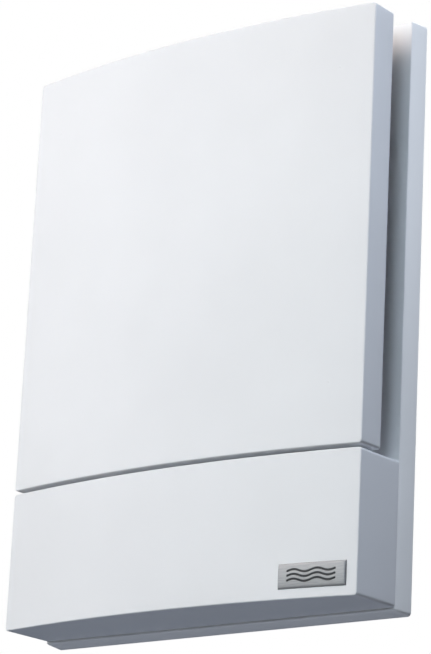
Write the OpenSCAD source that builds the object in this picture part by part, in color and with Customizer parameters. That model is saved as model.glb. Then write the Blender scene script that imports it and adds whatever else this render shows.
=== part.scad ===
// Room unit of a through-the-wall heat recovery ventilator: casing, fan and regenerator cartridge.
// X runs to the right, Y into the wall and Z up. The wall plane is y = 0.
// The origin is on the duct axis, at the wall plane.

/* [Casing] */
// Width of the front panel and of the lower cover
panel_w = 220; // [216:1:224]
// Height of the front panel
panel_h = 225.5; // [220:0.5:232]
// Height of the lower cover
lower_h = 71.5; // [68:0.5:80]
// Depth of the casing's front side edges, measured from the wall
front_d = 43.6; // [42:0.2:48]
// How far the middle of the front bulges past its side edges
bulge = 10; // [8:0.5:12]
// Depth of the front panel's side walls
panel_side = 15.5; // [14:0.5:16]
// Slit between the front panel and the lower cover
slit = 2; // [1:0.5:3]
// Wall thickness of the mouldings
wall = 2.5; // [2:0.1:3]

/* [Base plate] */
// How far the plate stands past the casing at each side
plate_side = 1.2; // [1:0.1:2]
// How far the plate stands past the casing at the top
plate_top = 2; // [1:0.5:3]
// How far the plate stands past the casing at the bottom
plate_bottom = 2.5; // [1:0.5:4]
// Thickness of the plate
plate_t = 12; // [11.5:0.1:12.5]

/* [Duct] */
// Outer diameter of the duct cartridge
duct_d = 124; // [123.6:0.1:124.4]
// How far the cartridge reaches behind the wall plane
duct_len = 60; // [58:0.5:66]
// Pitch of the regenerator's square channels
cell_pitch = 5.2; // [4.8:0.2:7]

/* [Fixings] */
// Horizontal distance between the wall screws
screw_dx = 120; // [110:1:126]
// Vertical distance between the wall screws
screw_dz = 207; // [204:1:208]
// Diameter of the wall screw holes
screw_d = 5.2; // [4.4:0.1:5.6]

/* [Hidden] */
$fn = 96;
eps = 0.01;

// Casing levels
half_w = panel_w / 2;
panel_z1 = panel_h / 2;
panel_z0 = -panel_h / 2;
lower_z1 = panel_z0 - slit;
lower_z0 = lower_z1 - lower_h;
arc_r = (half_w * half_w + bulge * bulge) / (2 * bulge);
arc_y = arc_r - front_d - bulge;
panel_back = -front_d + panel_side;
corner_r = 1.6;

// Base plate levels
plate_hw = half_w + plate_side;
plate_z1 = panel_z1 + plate_top;
plate_z0 = lower_z0 - plate_bottom;
plate_y = -plate_t;
skin_y = plate_y + wall;
plate_r = 2;
rib_t = 1.6;
rib_y1 = -0.6;

// Guides of the front panel
guide_x = 81;
guide_z = 81;
guide_bore = 8.2;
guide_pin_d = 8;
sleeve_d = 12;
sleeve_y0 = -22;
sleeve_y1 = -0.6;
pin_tip = -16.6;
pin_root = -38;
GUIDES = [[-guide_x, guide_z], [guide_x, guide_z], [-guide_x, -guide_z], [guide_x, -guide_z]];

// Sealing rib of the front panel and its seal on the plate
seal_out = 95;
seal_in = 90;
seal_t = 1.5;
rib_out = 93.5;
rib_in = 91.5;
rib_tip = panel_back - 0.7;

// Duct cartridge, from the room side to the outside
duct_r = duct_d / 2;
tube_r = duct_r - 2;
neck_r = duct_r - 0.6;
neck_y = 12;
flange_r = 76;
flange_y = plate_y - 2.5;
collar_r0 = 63;
collar_r1 = 65;
collar_y = -24;
flange_hole_r = 72;
fan_y0 = -13;
fan_y1 = 12;
fan_r1 = tube_r - 0.6;
fan_r0 = 56;
core_y0 = 14;
core_y1 = duct_len - 6;
core_r = 53;
lip_y = duct_len - 2;

// Control board and what stands on it
board_hw = 72;
board_z1 = -124;
board_z0 = -181;
board_y = -25.6;
board_t = 1.6;
post_x = 66;
post_z1 = -130;
post_z0 = -175;
cover_screw_x = 98;
cover_screw_y = -20;
grommet_x = -90;
grommet_z = -138;
clamp_z = -166;
cable_x = 0;
cable_y = -5;
cable_d = 4;

// Badge on the lower cover
badge_x = 86.5;
badge_z = -175.2;
badge_w = 36;
badge_h = 12.2;

// ---- Shared shapes ----

// A flat shape drawn in X and Z, made solid from y0 to y1.
module slab(y0, y1) {
    translate([0, y1, 0])
        rotate([90, 0, 0])
            linear_extrude(y1 - y0)
                children();
}

// A ring, or a disc when r0 is 0, round the Y axis.
module ring(r1, r0, y0, y1) {
    slab(y0, y1)
        difference() {
            circle(r1);
            if (r0 > 0) circle(r0);
        }
}

// A straight cylinder along Y at x, z.
module rod(x, z, d, y0, y1) {
    translate([x, y0, z])
        rotate([-90, 0, 0])
            cylinder(d = d, h = y1 - y0, $fn = 48);
}

function corner(cx, cz, r, a0) = [for (i = [0:6]) [cx + r * cos(a0 + 15 * i), cz + r * sin(a0 + 15 * i)]];

// Outline of a rectangle with round corners, between two opposite corners.
module rounded(x0, z0, x1, z1, r) {
    polygon(concat(
        corner(x1 - r, z1 - r, r, 0), corner(x0 + r, z1 - r, r, 90),
        corner(x0 + r, z0 + r, r, 180), corner(x1 - r, z0 + r, r, 270)));
}

// Plan of the curved front, from its arc back to y_back, with the arc moved in by inset.
module front_plan(inset, hw, y_back) {
    intersection() {
        translate([0, arc_y]) circle(arc_r - inset, $fn = 360);
        translate([-hw, -front_d - bulge]) square([2 * hw, front_d + bulge + y_back]);
    }
}

function front_y(x) = arc_y - sqrt(arc_r * arc_r - x * x);

// A shell with the curved front, open at the back.
module front_shell(z0, z1, y_back) {
    difference() {
        intersection() {
            translate([0, 0, z0])
                linear_extrude(z1 - z0)
                    front_plan(0, half_w, y_back);
            slab(-front_d - bulge - 1, y_back + 1)
                rounded(-half_w, z0, half_w, z1, corner_r);
        }
        translate([0, 0, z0 + wall])
            linear_extrude(z1 - z0 - 2 * wall)
                front_plan(wall, half_w - wall, y_back + 1);
    }
}

module rect_frame(out, in) {
    difference() {
        square(2 * out, center = true);
        square(2 * in, center = true);
    }
}

// ---- Casing ----

module plate_body() {
    z_mid = lower_z1;
    chamfer_up = 0.8;
    chamfer_low = 3;
    hull() {
        slab(plate_y + chamfer_up, 0) rounded(-plate_hw, z_mid, plate_hw, plate_z1, plate_r);
        slab(plate_y, 0) rounded(
            -plate_hw + chamfer_up, z_mid, plate_hw - chamfer_up, plate_z1 - chamfer_up, plate_r);
    }
    hull() {
        slab(plate_y + chamfer_low, 0) rounded(-plate_hw, plate_z0, plate_hw, z_mid + 12, plate_r);
        slab(plate_y, 0) rounded(
            -half_w - 0.1, plate_z0 + 1.2, half_w + 0.1, z_mid + 12, plate_r);
    }
}

module plate_ribs() {
    slab(skin_y - eps, rib_y1) {
        for (x = [-72, -40, 40, 72])
            translate([x, (plate_z0 + plate_z1) / 2])
                square([rib_t, plate_z1 - plate_z0 - wall], center = true);
        for (z = [-103.5, -82, 0, 82, 103.5])
            for (s = [-1, 1])
                translate([s * 58, z]) square([103, rib_t], center = true);
        translate([56, -150]) square([103, rib_t], center = true);
        translate([-56, -176]) square([103, rib_t], center = true);
    }
}

module base_plate() {
    boss_y = -19;
    color("white")
        difference() {
            union() {
                difference() {
                    plate_body();
                    slab(skin_y, 1)
                        rounded(-plate_hw + wall, plate_z0 + wall, plate_hw - wall, plate_z1 - wall, 2);
                }
                plate_ribs();
                ring(duct_r + 2.8, duct_r + 0.4, skin_y - eps, rib_y1);
                for (g = GUIDES)
                    rod(g[0], g[1], sleeve_d + 4, boss_y, 0);
                for (x = [-1, 1])
                    for (z = [-1, 1])
                        rod(x * screw_dx / 2, z * screw_dz / 2, 14, skin_y - eps, 0);
                for (x = [-post_x, post_x])
                    for (z = [post_z0, post_z1])
                        rod(x, z, 7, board_y + board_t, skin_y);
                for (s = [-1, 1])
                    translate([s * cover_screw_x - 6, -27, lower_z1 - wall - 12])
                        cube([12, 27 + skin_y, 12]);
                for (s = [-1, 1])
                    rod(grommet_x + s * 10, clamp_z, 6.5, -18, skin_y);
                rod(grommet_x, grommet_z, 20, skin_y - eps, 0);
                for (a = [45:90:315])
                    rod(flange_hole_r * cos(a), flange_hole_r * sin(a), 8, skin_y - eps, -3);
            }
            // The duct opening, clear of the ribs.
            ring(duct_r + 0.4, 0, -30, 1);
            // Seats of the guide sleeves, blind at the wall side.
            for (g = GUIDES)
                rod(g[0], g[1], sleeve_d, boss_y - 1, sleeve_y1);
            // Wall screw holes, with seats for the heads.
            for (x = [-1, 1])
                for (z = [-1, 1]) {
                    rod(x * screw_dx / 2, z * screw_dz / 2, screw_d, -20, 1);
                    rod(x * screw_dx / 2, z * screw_dz / 2, 10, -20, plate_y + 2);
                }
            // Pilot holes for the board, cover and clamp screws.
            for (x = [-post_x, post_x])
                for (z = [post_z0, post_z1])
                    rod(x, z, 2.4, board_y, plate_y);
            for (s = [-1, 1])
                translate([s * cover_screw_x, cover_screw_y, lower_z1 - wall - 10])
                    cylinder(d = 2.6, h = 12, $fn = 48);
            for (s = [-1, 1])
                rod(grommet_x + s * 10, clamp_z, 2.4, -19, plate_y);
            // Seat of the cable grommet.
            rod(grommet_x, grommet_z, 12, -20, 1);
            // Slot for the fan cable, channel behind the skin and notch for the fan plug.
            slab(-20, skin_y + 1)
                translate([cable_x, -121]) square([9, 7], center = true);
            slab(skin_y, 0)
                translate([cable_x, -96]) square([10, 58], center = true);
            slab(-8.7, -1.3)
                translate([0, -64]) square([12.6, 10], center = true);
            // Slots for the lower cover's hooks.
            for (s = [-1, 1])
                slab(-20, skin_y + 1)
                    translate([s * 52, lower_z0 + wall + 1.2]) square([17, 3], center = true);
            // Pockets for the flange screws.
            for (a = [45:90:315])
                rod(flange_hole_r * cos(a), flange_hole_r * sin(a), 2.6, -20, -4);
        }
}

module front_panel() {
    color("white")
        difference() {
            union() {
                front_shell(panel_z0, panel_z1, panel_back);
                // Sealing rib round the air chamber, which ends on the closing seal.
                intersection() {
                    slab(-front_d - bulge, rib_tip) rect_frame(rib_out, rib_in);
                    translate([0, 0, panel_z0])
                        linear_extrude(panel_h)
                            front_plan(wall / 2, half_w, 0);
                }
                // Bosses for the guide pins, with gussets to the rib.
                for (g = GUIDES)
                    rod(g[0], g[1], 12, front_y(g[0]) + 1.5, pin_root);
                for (g = GUIDES)
                    slab(front_y(g[0]) + 2, pin_root - 1)
                        translate([sign(g[0]) * 88, g[1]]) square([8, 1.6], center = true);
                // Stiffening ribs inside the top and bottom edges.
                for (x = [-60, -30, 0, 30, 60])
                    for (s = [-1, 1])
                        slab(front_y(x) + 1.5, panel_back - 6)
                            translate([x, s * 101.5]) square([1.6, 18], center = true);
            }
            for (g = GUIDES)
                rod(g[0], g[1], 5, pin_root - 8, pin_root + 1);
        }
}

module lower_cover() {
    color("white")
        difference() {
            union() {
                front_shell(lower_z0, lower_z1, plate_y);
                // Hooks that catch behind the plate's skin.
                for (s = [-1, 1])
                    translate([s * 52 - 8, plate_y - 6, lower_z0 + wall - eps]) {
                        cube([16, 10, 1.8]);
                        translate([0, 8.7, 0]) cube([16, 1.4, 3.4]);
                    }
                // Inner ribs across the front.
                for (x = [-78, 78])
                    slab(-47.2, -39)
                        translate([x, (lower_z0 + lower_z1) / 2])
                            square([1.6, lower_h - 2 * wall], center = true);
            }
            for (s = [-1, 1])
                translate([s * cover_screw_x, cover_screw_y, lower_z1 - wall - 1]) {
                    cylinder(d = 3.4, h = wall + 2, $fn = 48);
                    translate([0, 0, 2]) cylinder(d = 6.4, h = wall, $fn = 48);
                }
            // Pocket for the badge.
            intersection() {
                slab(-60, -30)
                    translate([badge_x, badge_z]) square([badge_w, badge_h], center = true);
                translate([0, arc_y, badge_z - badge_h])
                    difference() {
                        cylinder(r = arc_r + 2, h = 2 * badge_h, $fn = 360);
                        translate([0, 0, -1]) cylinder(r = arc_r - 0.6, h = 2 * badge_h + 2, $fn = 360);
                    }
            }
        }
}

module badge() {
    color("silver")
        intersection() {
            slab(-60, -30)
                translate([badge_x, badge_z]) square([badge_w, badge_h], center = true);
            translate([0, arc_y, badge_z - badge_h])
                difference() {
                    cylinder(r = arc_r + 1.1, h = 2 * badge_h, $fn = 360);
                    translate([0, 0, -1]) cylinder(r = arc_r - 0.6, h = 2 * badge_h + 2, $fn = 360);
                }
        }
}

// ---- Sliding guides of the front panel ----

module guide_pin(g) {
    color("gainsboro") {
        difference() {
            union() {
                rod(g[0], g[1], 5, pin_root - 7.5, pin_root);
                rod(g[0], g[1], guide_pin_d, pin_root, pin_tip - 0.8);
                rod(g[0], g[1], guide_pin_d - 1.6, pin_tip - 0.8, pin_tip);
            }
            translate([g[0], -20.5, g[1]])
                rotate([-90, 0, 0])
                    difference() {
                        cylinder(d = 12, h = 1.4, $fn = 48);
                        translate([0, 0, -1]) cylinder(d = 6.2, h = 4, $fn = 48);
                    }
        }
    }
}

module pin_ring(g) {
    color("dimgray")
        translate([g[0], -19.8, g[1]])
            rotate([-90, 0, 0])
                rotate_extrude($fn = 64)
                    translate([3.58, 0]) circle(0.48, $fn = 24);
}

module guide_sleeve(g) {
    color("whitesmoke")
        difference() {
            union() {
                rod(g[0], g[1], sleeve_d, sleeve_y0 + 3, sleeve_y1);
                rod(g[0], g[1], sleeve_d + 3, sleeve_y0, sleeve_y0 + 3);
            }
            rod(g[0], g[1], guide_bore, sleeve_y0 - 1, sleeve_y1 + 1);
        }
}

module closing_seal() {
    color("gray")
        slab(plate_y - seal_t, plate_y) rect_frame(seal_out, seal_in);
}

module sound_pad() {
    pad_hw = 60;
    pad_t = 5;
    color("darkgray")
        translate([0, 0, -pad_hw])
            linear_extrude(2 * pad_hw)
                intersection() {
                    difference() {
                        translate([0, arc_y]) circle(arc_r - wall, $fn = 360);
                        translate([0, arc_y]) circle(arc_r - wall - pad_t, $fn = 360);
                    }
                    translate([-pad_hw, -60]) square([2 * pad_hw, 30]);
                }
}

// ---- Duct cartridge ----

// The flange that screws to the plate, with the collar that the filter ring locks onto.
module duct_flange() {
    color("lightgray")
        difference() {
            union() {
                ring(flange_r, neck_r, flange_y, plate_y);
                ring(collar_r1, collar_r0, collar_y, flange_y + eps);
                // Bayonet lugs on the collar.
                for (a = [30, 150, 270])
                    intersection() {
                        ring(66.2, 64.5, -20, -18);
                        rotate([0, a, 0]) translate([55, -20, -8]) cube([20, 2, 16]);
                    }
            }
            for (a = [45:90:315])
                rod(flange_hole_r * cos(a), flange_hole_r * sin(a), 3.4, flange_y - 1, plate_y + 1);
        }
}

module duct_spigot() {
    color("lightgray")
        difference() {
            union() {
                ring(neck_r, tube_r, flange_y, neck_y);
                ring(duct_r, tube_r, neck_y, duct_len);
                ring(tube_r + 0.5, tube_r - 3, lip_y, duct_len);
            }
            // Grooves for the two sleeve seals.
            ring(duct_r + 1, duct_r - 1, 3, 6);
            ring(duct_r + 1, duct_r - 1, 8, 11);
            // Window for the fan plug.
            slab(-8.7, -1.3)
                translate([0, -61]) square([12.4, 10], center = true);
        }
}

module screw_y(x, z, d, head_d, y_head, y_face, y_tip) {
    difference() {
        union() {
            rod(x, z, head_d, y_head, y_face);
            rod(x, z, d, y_face, y_tip);
        }
        translate([x, y_head - eps, z])
            for (a = [0, 90])
                rotate([0, a, 0])
                    cube([0.6, 1.4, head_d * 0.6], center = true);
    }
}

module flange_screws() {
    color("silver")
        for (a = [45:90:315])
            screw_y(flange_hole_r * cos(a), flange_hole_r * sin(a), 2.6, 5.6, flange_y - 1.8, flange_y, -5);
}

module sleeve_seal(y0) {
    color("dimgray") ring(duct_r + 0.2, duct_r - 1, y0, y0 + 3);
}

module filter_ring() {
    color("whitesmoke")
        union() {
            // Front rim, guard rings and spokes.
            ring(69, 59, -27, -25);
            ring(44, 42, -27, -25);
            ring(24, 22, -27, -25);
            ring(7, 0, -27, -25);
            for (a = [0:45:315])
                rotate([0, a, 0])
                    translate([5, -27, -0.9]) cube([55, 2, 1.8]);
            // Skirt round the collar.
            ring(69, 66.5, -25 - eps, -16.2);
            // Bayonet tabs behind the lugs.
            for (a = [30, 150, 270])
                intersection() {
                    ring(67, 65.3, -17.6, -16.2);
                    rotate([0, a, 0]) translate([55, -17.6, -7]) cube([20, 1.4, 14]);
                }
            // Finger grips.
            for (a = [0, 180])
                rotate([0, a, 0])
                    translate([68.5, -27, -6]) cube([3.2, 8, 12]);
        }
}

module filter_frame() {
    color("lightgray") {
        ring(62.8, 61, -24.6, flange_y);
    }
}

module filter_mat() {
    pitch = 5;
    depth = 8;
    sheet = 1.2;
    count = 25;
    x0 = -pitch * count / 2;
    front = [for (i = [0:2 * count]) [x0 + i * pitch / 2, (i % 2 == 0 ? -24.2 : -24.2 + depth)]];
    back = [for (i = [2 * count:-1:0]) [x0 + i * pitch / 2, front[i][1] + sheet]];
    color("ghostwhite")
        intersection() {
            translate([0, 0, -62])
                linear_extrude(124)
                    polygon(concat(front, back));
            ring(61, 0, -25, flange_y);
        }
}

// ---- Fan ----

module fan_housing() {
    strut_w = 3.6;
    color("darkslategray")
        difference() {
            union() {
                ring(fan_r1, fan_r0, fan_y0, fan_y1);
                ring(22, 0, 9, fan_y1);
                for (i = [0:4])
                    rotate([0, 72 * i + 90, 0])
                        translate([20, 9.4, -strut_w / 2]) cube([fan_r0 - 18.5, 2, strut_w]);
            }
            slab(-8.7, -1.3)
                translate([0, -58]) square([12.2, 7], center = true);
            // Groove for the motor lead, on the lowest strut's side.
            translate([-2.3, -2, -57.8])
                cube([4.6, 10.7, 3]);
        }
}

module fan_bands() {
    color("dimgray") {
        ring(tube_r, fan_r1, -12, -9);
        ring(tube_r, fan_r1, 7, 10);
    }
}

// A cambered blade: part of a tube wall whose axis runs outwards from the hub.
module cambered_blade(a) {
    camber_r = 26;
    blade_t = 1.5;
    intersection() {
        ring(55, 23.7, -9.5, 6.5);
        rotate([0, a, 0])
            translate([20, 14, 16])
                rotate([0, 90, 0])
                    difference() {
                        cylinder(r = camber_r, h = 40);
                        translate([0, 0, -1]) cylinder(r = camber_r - blade_t, h = 42);
                    }
        rotate([0, a, 0])
            translate([20, -10, -14]) cube([40, 17, 19]);
    }
}

module impeller() {
    color("darkslategray")
        difference() {
            union() {
                ring(24, 0, -12, -10);
                ring(24, 22.5, -10 - eps, 6.5);
                ring(4.4, 0, -10 - eps, -8.6);
                for (i = [0:6])
                    cambered_blade(i * 360 / 7);
            }
            rod(0, 0, 4, -11.5, -8);
        }
}

module rotor_yoke() {
    color("gray") ring(22.5, 21, -9.8, 6);
}

module rotor_magnet() {
    color("black") ring(21, 19.3, -8, 5.5);
}

module fan_shaft() {
    color("silver") rod(0, 0, 4, -11.5, 8.6);
}

module bearing(y0) {
    color("silver") ring(4.5, 2.05, y0, y0 + 4);
}

module bearing_tube() {
    color("goldenrod")
        ring(6.5, 4.5, -8, 9);
}

module stator_core() {
    color("slategray")
        slab(-4, 4)
            difference() {
                union() {
                    circle(9.5);
                    for (i = [0:5])
                        rotate(60 * i) translate([8, -1.3]) square([9.8, 2.6]);
                    intersection() {
                        difference() {
                            circle(18.8);
                            circle(16.8);
                        }
                        for (i = [0:5])
                            rotate(60 * i) translate([10, -6.5]) square([10, 13]);
                    }
                }
                circle(6.5);
            }
}

module stator_windings() {
    color("chocolate")
        for (i = [0:5])
            rotate([0, 60 * i, 0])
                difference() {
                    translate([10.6, -6, -3.4]) cube([5.6, 12, 6.8]);
                    translate([10, -4, -1.3]) cube([8, 8, 2.6]);
                }
}

module motor_board() {
    color("darkgreen") ring(19, 7, 7, 8.4);
}

// ---- Regenerator ----

module core_gasket() {
    color("dimgray") ring(fan_r1, core_r, fan_y1, core_y0);
}

module regenerator_sleeve() {
    color("darkgray") ring(fan_r1, core_r, core_y0, core_y1);
}

module ceramic_core() {
    cell = cell_pitch - 1;
    n = floor(core_r / cell_pitch);
    color("wheat")
        slab(core_y0, core_y1)
            difference() {
                circle(core_r);
                for (i = [-n:n])
                    for (k = [-n:n])
                        if (norm([i, k]) * cell_pitch < core_r - 4.6)
                            translate([i * cell_pitch, k * cell_pitch]) square(cell, center = true);
            }
}

module insect_mesh() {
    color("gray") ring(58.5, 0, core_y1 + 0.4, core_y1 + 1);
}

module end_grille() {
    color("lightgray")
        slab(core_y1 + 1, lip_y) {
            difference() {
                circle(fan_r1);
                circle(54.5);
            }
            for (r = [14, 28, 42])
                difference() {
                    circle(r + 0.9);
                    circle(r - 0.9);
                }
            circle(4);
            for (a = [0:45:315])
                rotate(a) translate([3, -0.9]) square([52, 1.8]);
        }
}

// ---- Wiring ----

module motor_lead() {
    color("dimgray") {
        translate([-2, 7.4, -57.5]) cube([4, 1, 38.3]);
        translate([-2, -1.5, -57.5]) cube([4, 9.9, 1]);
    }
}

// Rings of points round a path, swept into a closed tube.
function unit(v) = v / norm(v);
function path_dir(p, i) = unit(p[min(i + 1, len(p) - 1)] - p[max(i - 1, 0)]);

module swept(path, d, sides) {
    n = len(path);
    points = [
        for (i = [0:n - 1])
            let (t = path_dir(path, i), u = [1, 0, 0], v = cross(t, u))
                for (k = [0:sides - 1])
                    path[i] + d / 2 * (cos(360 * k / sides) * u + sin(360 * k / sides) * v)
    ];
    side_faces = [
        for (i = [0:n - 2])
            for (k = [0:sides - 1])
                let (k2 = (k + 1) % sides)
                    [i * sides + k, i * sides + k2, (i + 1) * sides + k2, (i + 1) * sides + k]
    ];
    first = [for (k = [sides - 1:-1:0]) k];
    last = [for (k = [0:sides - 1]) (n - 1) * sides + k];
    polyhedron(points, concat([first], side_faces, [last]), convexity = 4);
}

CABLE_PATH = [
    [0, cable_y, -68], [0, cable_y, -80], [0, cable_y, -92], [0, cable_y, -104],
    [0, cable_y, -112], [0, -6, -116.5],
    [0, -9, -119.6], [0, -13, -120.6], [0, -20, -120.6], [0, -26, -120.8], [0, -29.5, -122.6],
    [0, -31, -126], [0, -31, -134]
];

module fan_cable() {
    color("dimgray") swept(CABLE_PATH, cable_d, 8);
}

module fan_plug() {
    color("ivory")
        difference() {
            translate([-6, -8.5, -68]) cube([12, 7, 11]);
            for (x = [-4, 0, 4])
                translate([x - 0.8, -6, -59]) cube([1.6, 2, 3]);
        }
}

module cable_grommet() {
    color("dimgray")
        difference() {
            union() {
                rod(grommet_x, grommet_z, 12, plate_y, 0);
                rod(grommet_x, grommet_z, 15, plate_y - 2, plate_y);
            }
            rod(grommet_x, grommet_z, 8, plate_y - 3, 1);
        }
}

// ---- Controls ----

module control_board() {
    color("darkgreen")
        difference() {
            slab(board_y, board_y + board_t)
                rounded(-board_hw, board_z0, board_hw, board_z1, 2);
            for (x = [-post_x, post_x])
                for (z = [post_z0, post_z1])
                    rod(x, z, 3, board_y - 1, board_y + board_t + 1);
        }
}

module power_module() {
    color("black")
        slab(board_y - 18, board_y) rounded(-34, -178, 12, -146, 1);
}

module capacitors() {
    color("navy")
        for (x = [24, 38])
            difference() {
                rod(x, -170, 10, board_y - 15, board_y);
                translate([x, board_y - 15, -170])
                    for (a = [0, 90])
                        rotate([0, a, 0]) cube([0.4, 0.6, 7], center = true);
            }
}

module terminal_block() {
    color("green")
        difference() {
            translate([-62, board_y - 13, -170]) cube([28 - 1, 13, 12]);
            for (i = [0:3])
                translate([-58.6 + 6.6 * i, board_y - 14, -164]) {
                    rotate([-90, 0, 0]) cylinder(d = 4, h = 4, $fn = 32);
                    translate([-2.2, 6, -7]) cube([4.4, 5, 4]);
                }
        }
}

module terminal_screws() {
    color("silver")
        for (i = [0:3])
            difference() {
                rod(-58.6 + 6.6 * i, -164, 3.6, board_y - 12, board_y - 10);
                translate([-58.6 + 6.6 * i, board_y - 12, -164]) cube([3, 1.2, 0.6], center = true);
            }
}

module fuse() {
    color("silver") {
        translate([-52, board_y - 4.2, -141]) rotate([0, 90, 0]) cylinder(d = 5.2, h = 20, $fn = 32);
        for (x = [-50, -38])
            translate([x, board_y - 4.2, -143.6]) cube([4, 4.2, 5.2]);
    }
}

module processor_chip() {
    color("black") translate([30, board_y - 1.6, -150]) cube([12, 1.6, 12]);
}

module fan_header() {
    color("ivory")
        difference() {
            translate([-6, board_y - 9.4, -140]) cube([12, 9.4, 10]);
            translate([-4.6, board_y - 8.4, -134]) cube([9.2, 6, 5]);
        }
}

module mode_switch() {
    color("black")
        difference() {
            translate([48, board_y - 6, -149]) cube([14, 6, 7]);
            translate([50.5, board_y - 7, -147.1]) cube([9, 4, 3.2]);
        }
}

module mode_slider() {
    color("white") translate([53.5, board_y - 8.5, -146.95]) cube([3, 5.3, 2.9]);
}

module cover_screws() {
    color("silver")
        for (s = [-1, 1])
            translate([s * cover_screw_x, cover_screw_y, lower_z1 - wall + 1])
                difference() {
                    union() {
                        translate([0, 0, -9]) cylinder(d = 2.6, h = 9, $fn = 48);
                        cylinder(d = 6, h = 1.3, $fn = 48);
                    }
                    translate([0, 0, 1.3]) {
                        cube([4, 0.6, 1.4], center = true);
                        cube([0.6, 4, 1.4], center = true);
                    }
                }
}

module cable_clamp() {
    color("whitesmoke")
        difference() {
            translate([grommet_x - 14, -22, clamp_z - 4]) cube([28, 4, 8]);
            translate([grommet_x, -17.2, clamp_z - 5]) cylinder(r = 4, h = 10, $fn = 48);
            for (s = [-1, 1])
                rod(grommet_x + s * 10, clamp_z, 3, -23, -17);
        }
}

module small_screws() {
    color("silver") {
        for (x = [-post_x, post_x])
            for (z = [post_z0, post_z1])
                screw_y(x, z, 2.4, 5, board_y - 1.8, board_y, board_y + 8);
        for (s = [-1, 1])
            screw_y(grommet_x + s * 10, clamp_z, 2.4, 5, -23.8, -22, -14);
    }
}

base_plate();
front_panel();
lower_cover();
badge();
guide_pin(GUIDES[0]);  // guide_pin_top_left
guide_pin(GUIDES[1]);  // guide_pin_top_right
guide_pin(GUIDES[2]);  // guide_pin_bottom_left
guide_pin(GUIDES[3]);  // guide_pin_bottom_right
pin_ring(GUIDES[0]);  // pin_ring_top_left
pin_ring(GUIDES[1]);  // pin_ring_top_right
pin_ring(GUIDES[2]);  // pin_ring_bottom_left
pin_ring(GUIDES[3]);  // pin_ring_bottom_right
guide_sleeve(GUIDES[0]);  // guide_sleeve_top_left
guide_sleeve(GUIDES[1]);  // guide_sleeve_top_right
guide_sleeve(GUIDES[2]);  // guide_sleeve_bottom_left
guide_sleeve(GUIDES[3]);  // guide_sleeve_bottom_right
closing_seal();
sound_pad();
duct_flange();
duct_spigot();
flange_screws();
sleeve_seal(3);  // sleeve_seal_front
sleeve_seal(8);  // sleeve_seal_rear
filter_ring();
filter_frame();
filter_mat();
fan_housing();
fan_bands();
impeller();
rotor_yoke();
rotor_magnet();
fan_shaft();
bearing(-8);  // bearing_front
bearing(4.5);  // bearing_rear
bearing_tube();
stator_core();
stator_windings();
motor_board();
core_gasket();
regenerator_sleeve();
ceramic_core();
insect_mesh();
end_grille();
motor_lead();
fan_plug();
fan_cable();
fan_header();
cable_grommet();
cable_clamp();
control_board();
power_module();
capacitors();
terminal_block();
terminal_screws();
fuse();
processor_chip();
mode_switch();
mode_slider();
cover_screws();
small_screws();
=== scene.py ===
import math
import bpy
import bmesh
import numpy as np
from mathutils import Matrix
from mathutils.geometry import delaunay_2d_cdt


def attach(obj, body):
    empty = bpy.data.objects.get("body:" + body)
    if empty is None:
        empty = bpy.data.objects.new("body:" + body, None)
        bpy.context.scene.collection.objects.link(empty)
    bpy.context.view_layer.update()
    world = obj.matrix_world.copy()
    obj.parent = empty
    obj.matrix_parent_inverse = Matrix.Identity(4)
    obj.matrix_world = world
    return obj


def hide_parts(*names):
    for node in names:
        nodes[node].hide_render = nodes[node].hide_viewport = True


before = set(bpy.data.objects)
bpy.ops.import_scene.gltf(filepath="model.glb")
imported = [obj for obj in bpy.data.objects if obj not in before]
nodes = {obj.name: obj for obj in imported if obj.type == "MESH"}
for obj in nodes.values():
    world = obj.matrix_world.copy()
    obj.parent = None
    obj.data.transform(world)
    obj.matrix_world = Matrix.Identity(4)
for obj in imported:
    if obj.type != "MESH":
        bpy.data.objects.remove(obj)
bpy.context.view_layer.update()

mm = 0.001

# Shapes: every surface is a (points, faces) pair in millimetres.

# Loops of points joined by quads: row i is joined to row i + 1, and column j to column j + 1 all the way
# round. closeRows also joins the last row to the first, as round a tube's wall.
def loft(loops, closeRows=False):
    loops = np.asarray(loops, float)
    m, n = loops.shape[:2]
    i, j = np.meshgrid(np.arange(m if closeRows else m - 1), np.arange(n), indexing="ij")
    i2, j2 = (i + 1) % m, (j + 1) % n
    quads = np.stack([i * n + j, i * n + j2, i2 * n + j2, i2 * n + j], -1).reshape(-1, 4)
    return loops.reshape(-1, 3), quads.tolist()

# The same, with one face over the first row and one over the last.
def capped(loops):
    points, faces = loft(loops)
    m, n = np.shape(loops)[:2]
    return points, faces + [list(range(n))[::-1], list(range((m - 1) * n, m * n))]

# Quads of a grid of n by m points, and the border's points in order.
def gridFaces(n, m):
    i, j = np.meshgrid(np.arange(n - 1), np.arange(m - 1), indexing="ij")
    quads = np.stack([i * m + j, (i + 1) * m + j, (i + 1) * m + j + 1, i * m + j + 1], -1).reshape(-1, 4)
    border = np.concatenate([np.arange(m), np.arange(1, n) * m + m - 1,
                             (n - 1) * m + np.arange(m - 2, -1, -1), np.arange(n - 2, 0, -1) * m])
    return quads, border

# A skin over two grids of the same size, closed round their borders.
def skinBetween(front, back):
    quads, border = gridFaces(*front.shape[:2])
    front, back = front.reshape(-1, 3), back.reshape(-1, 3)
    return [(front, quads.tolist()), (back, quads[:, ::-1].tolist()), loft([front[border], back[border]])]

# A flat outline of (x, z) at depth y, which is one number or one for each point.
def atDepth(flat, y):
    return np.stack([flat[:, 0], y + 0 * flat[:, 0], flat[:, 1]], -1)

# A closed profile of (radius, y) turned round the Y axis through (x, z): x + r cos a, z + r sin a.
def turned(profile, x=0.0, z=0.0, steps=96):
    profile = np.asarray(profile, float)
    a = np.linspace(0, 2 * np.pi, steps, endpoint=False)
    r, y = profile[:, :1], profile[:, 1:]
    return loft(np.stack([x + r * np.cos(a), y + 0 * a, z + r * np.sin(a)], -1), True)

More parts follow.
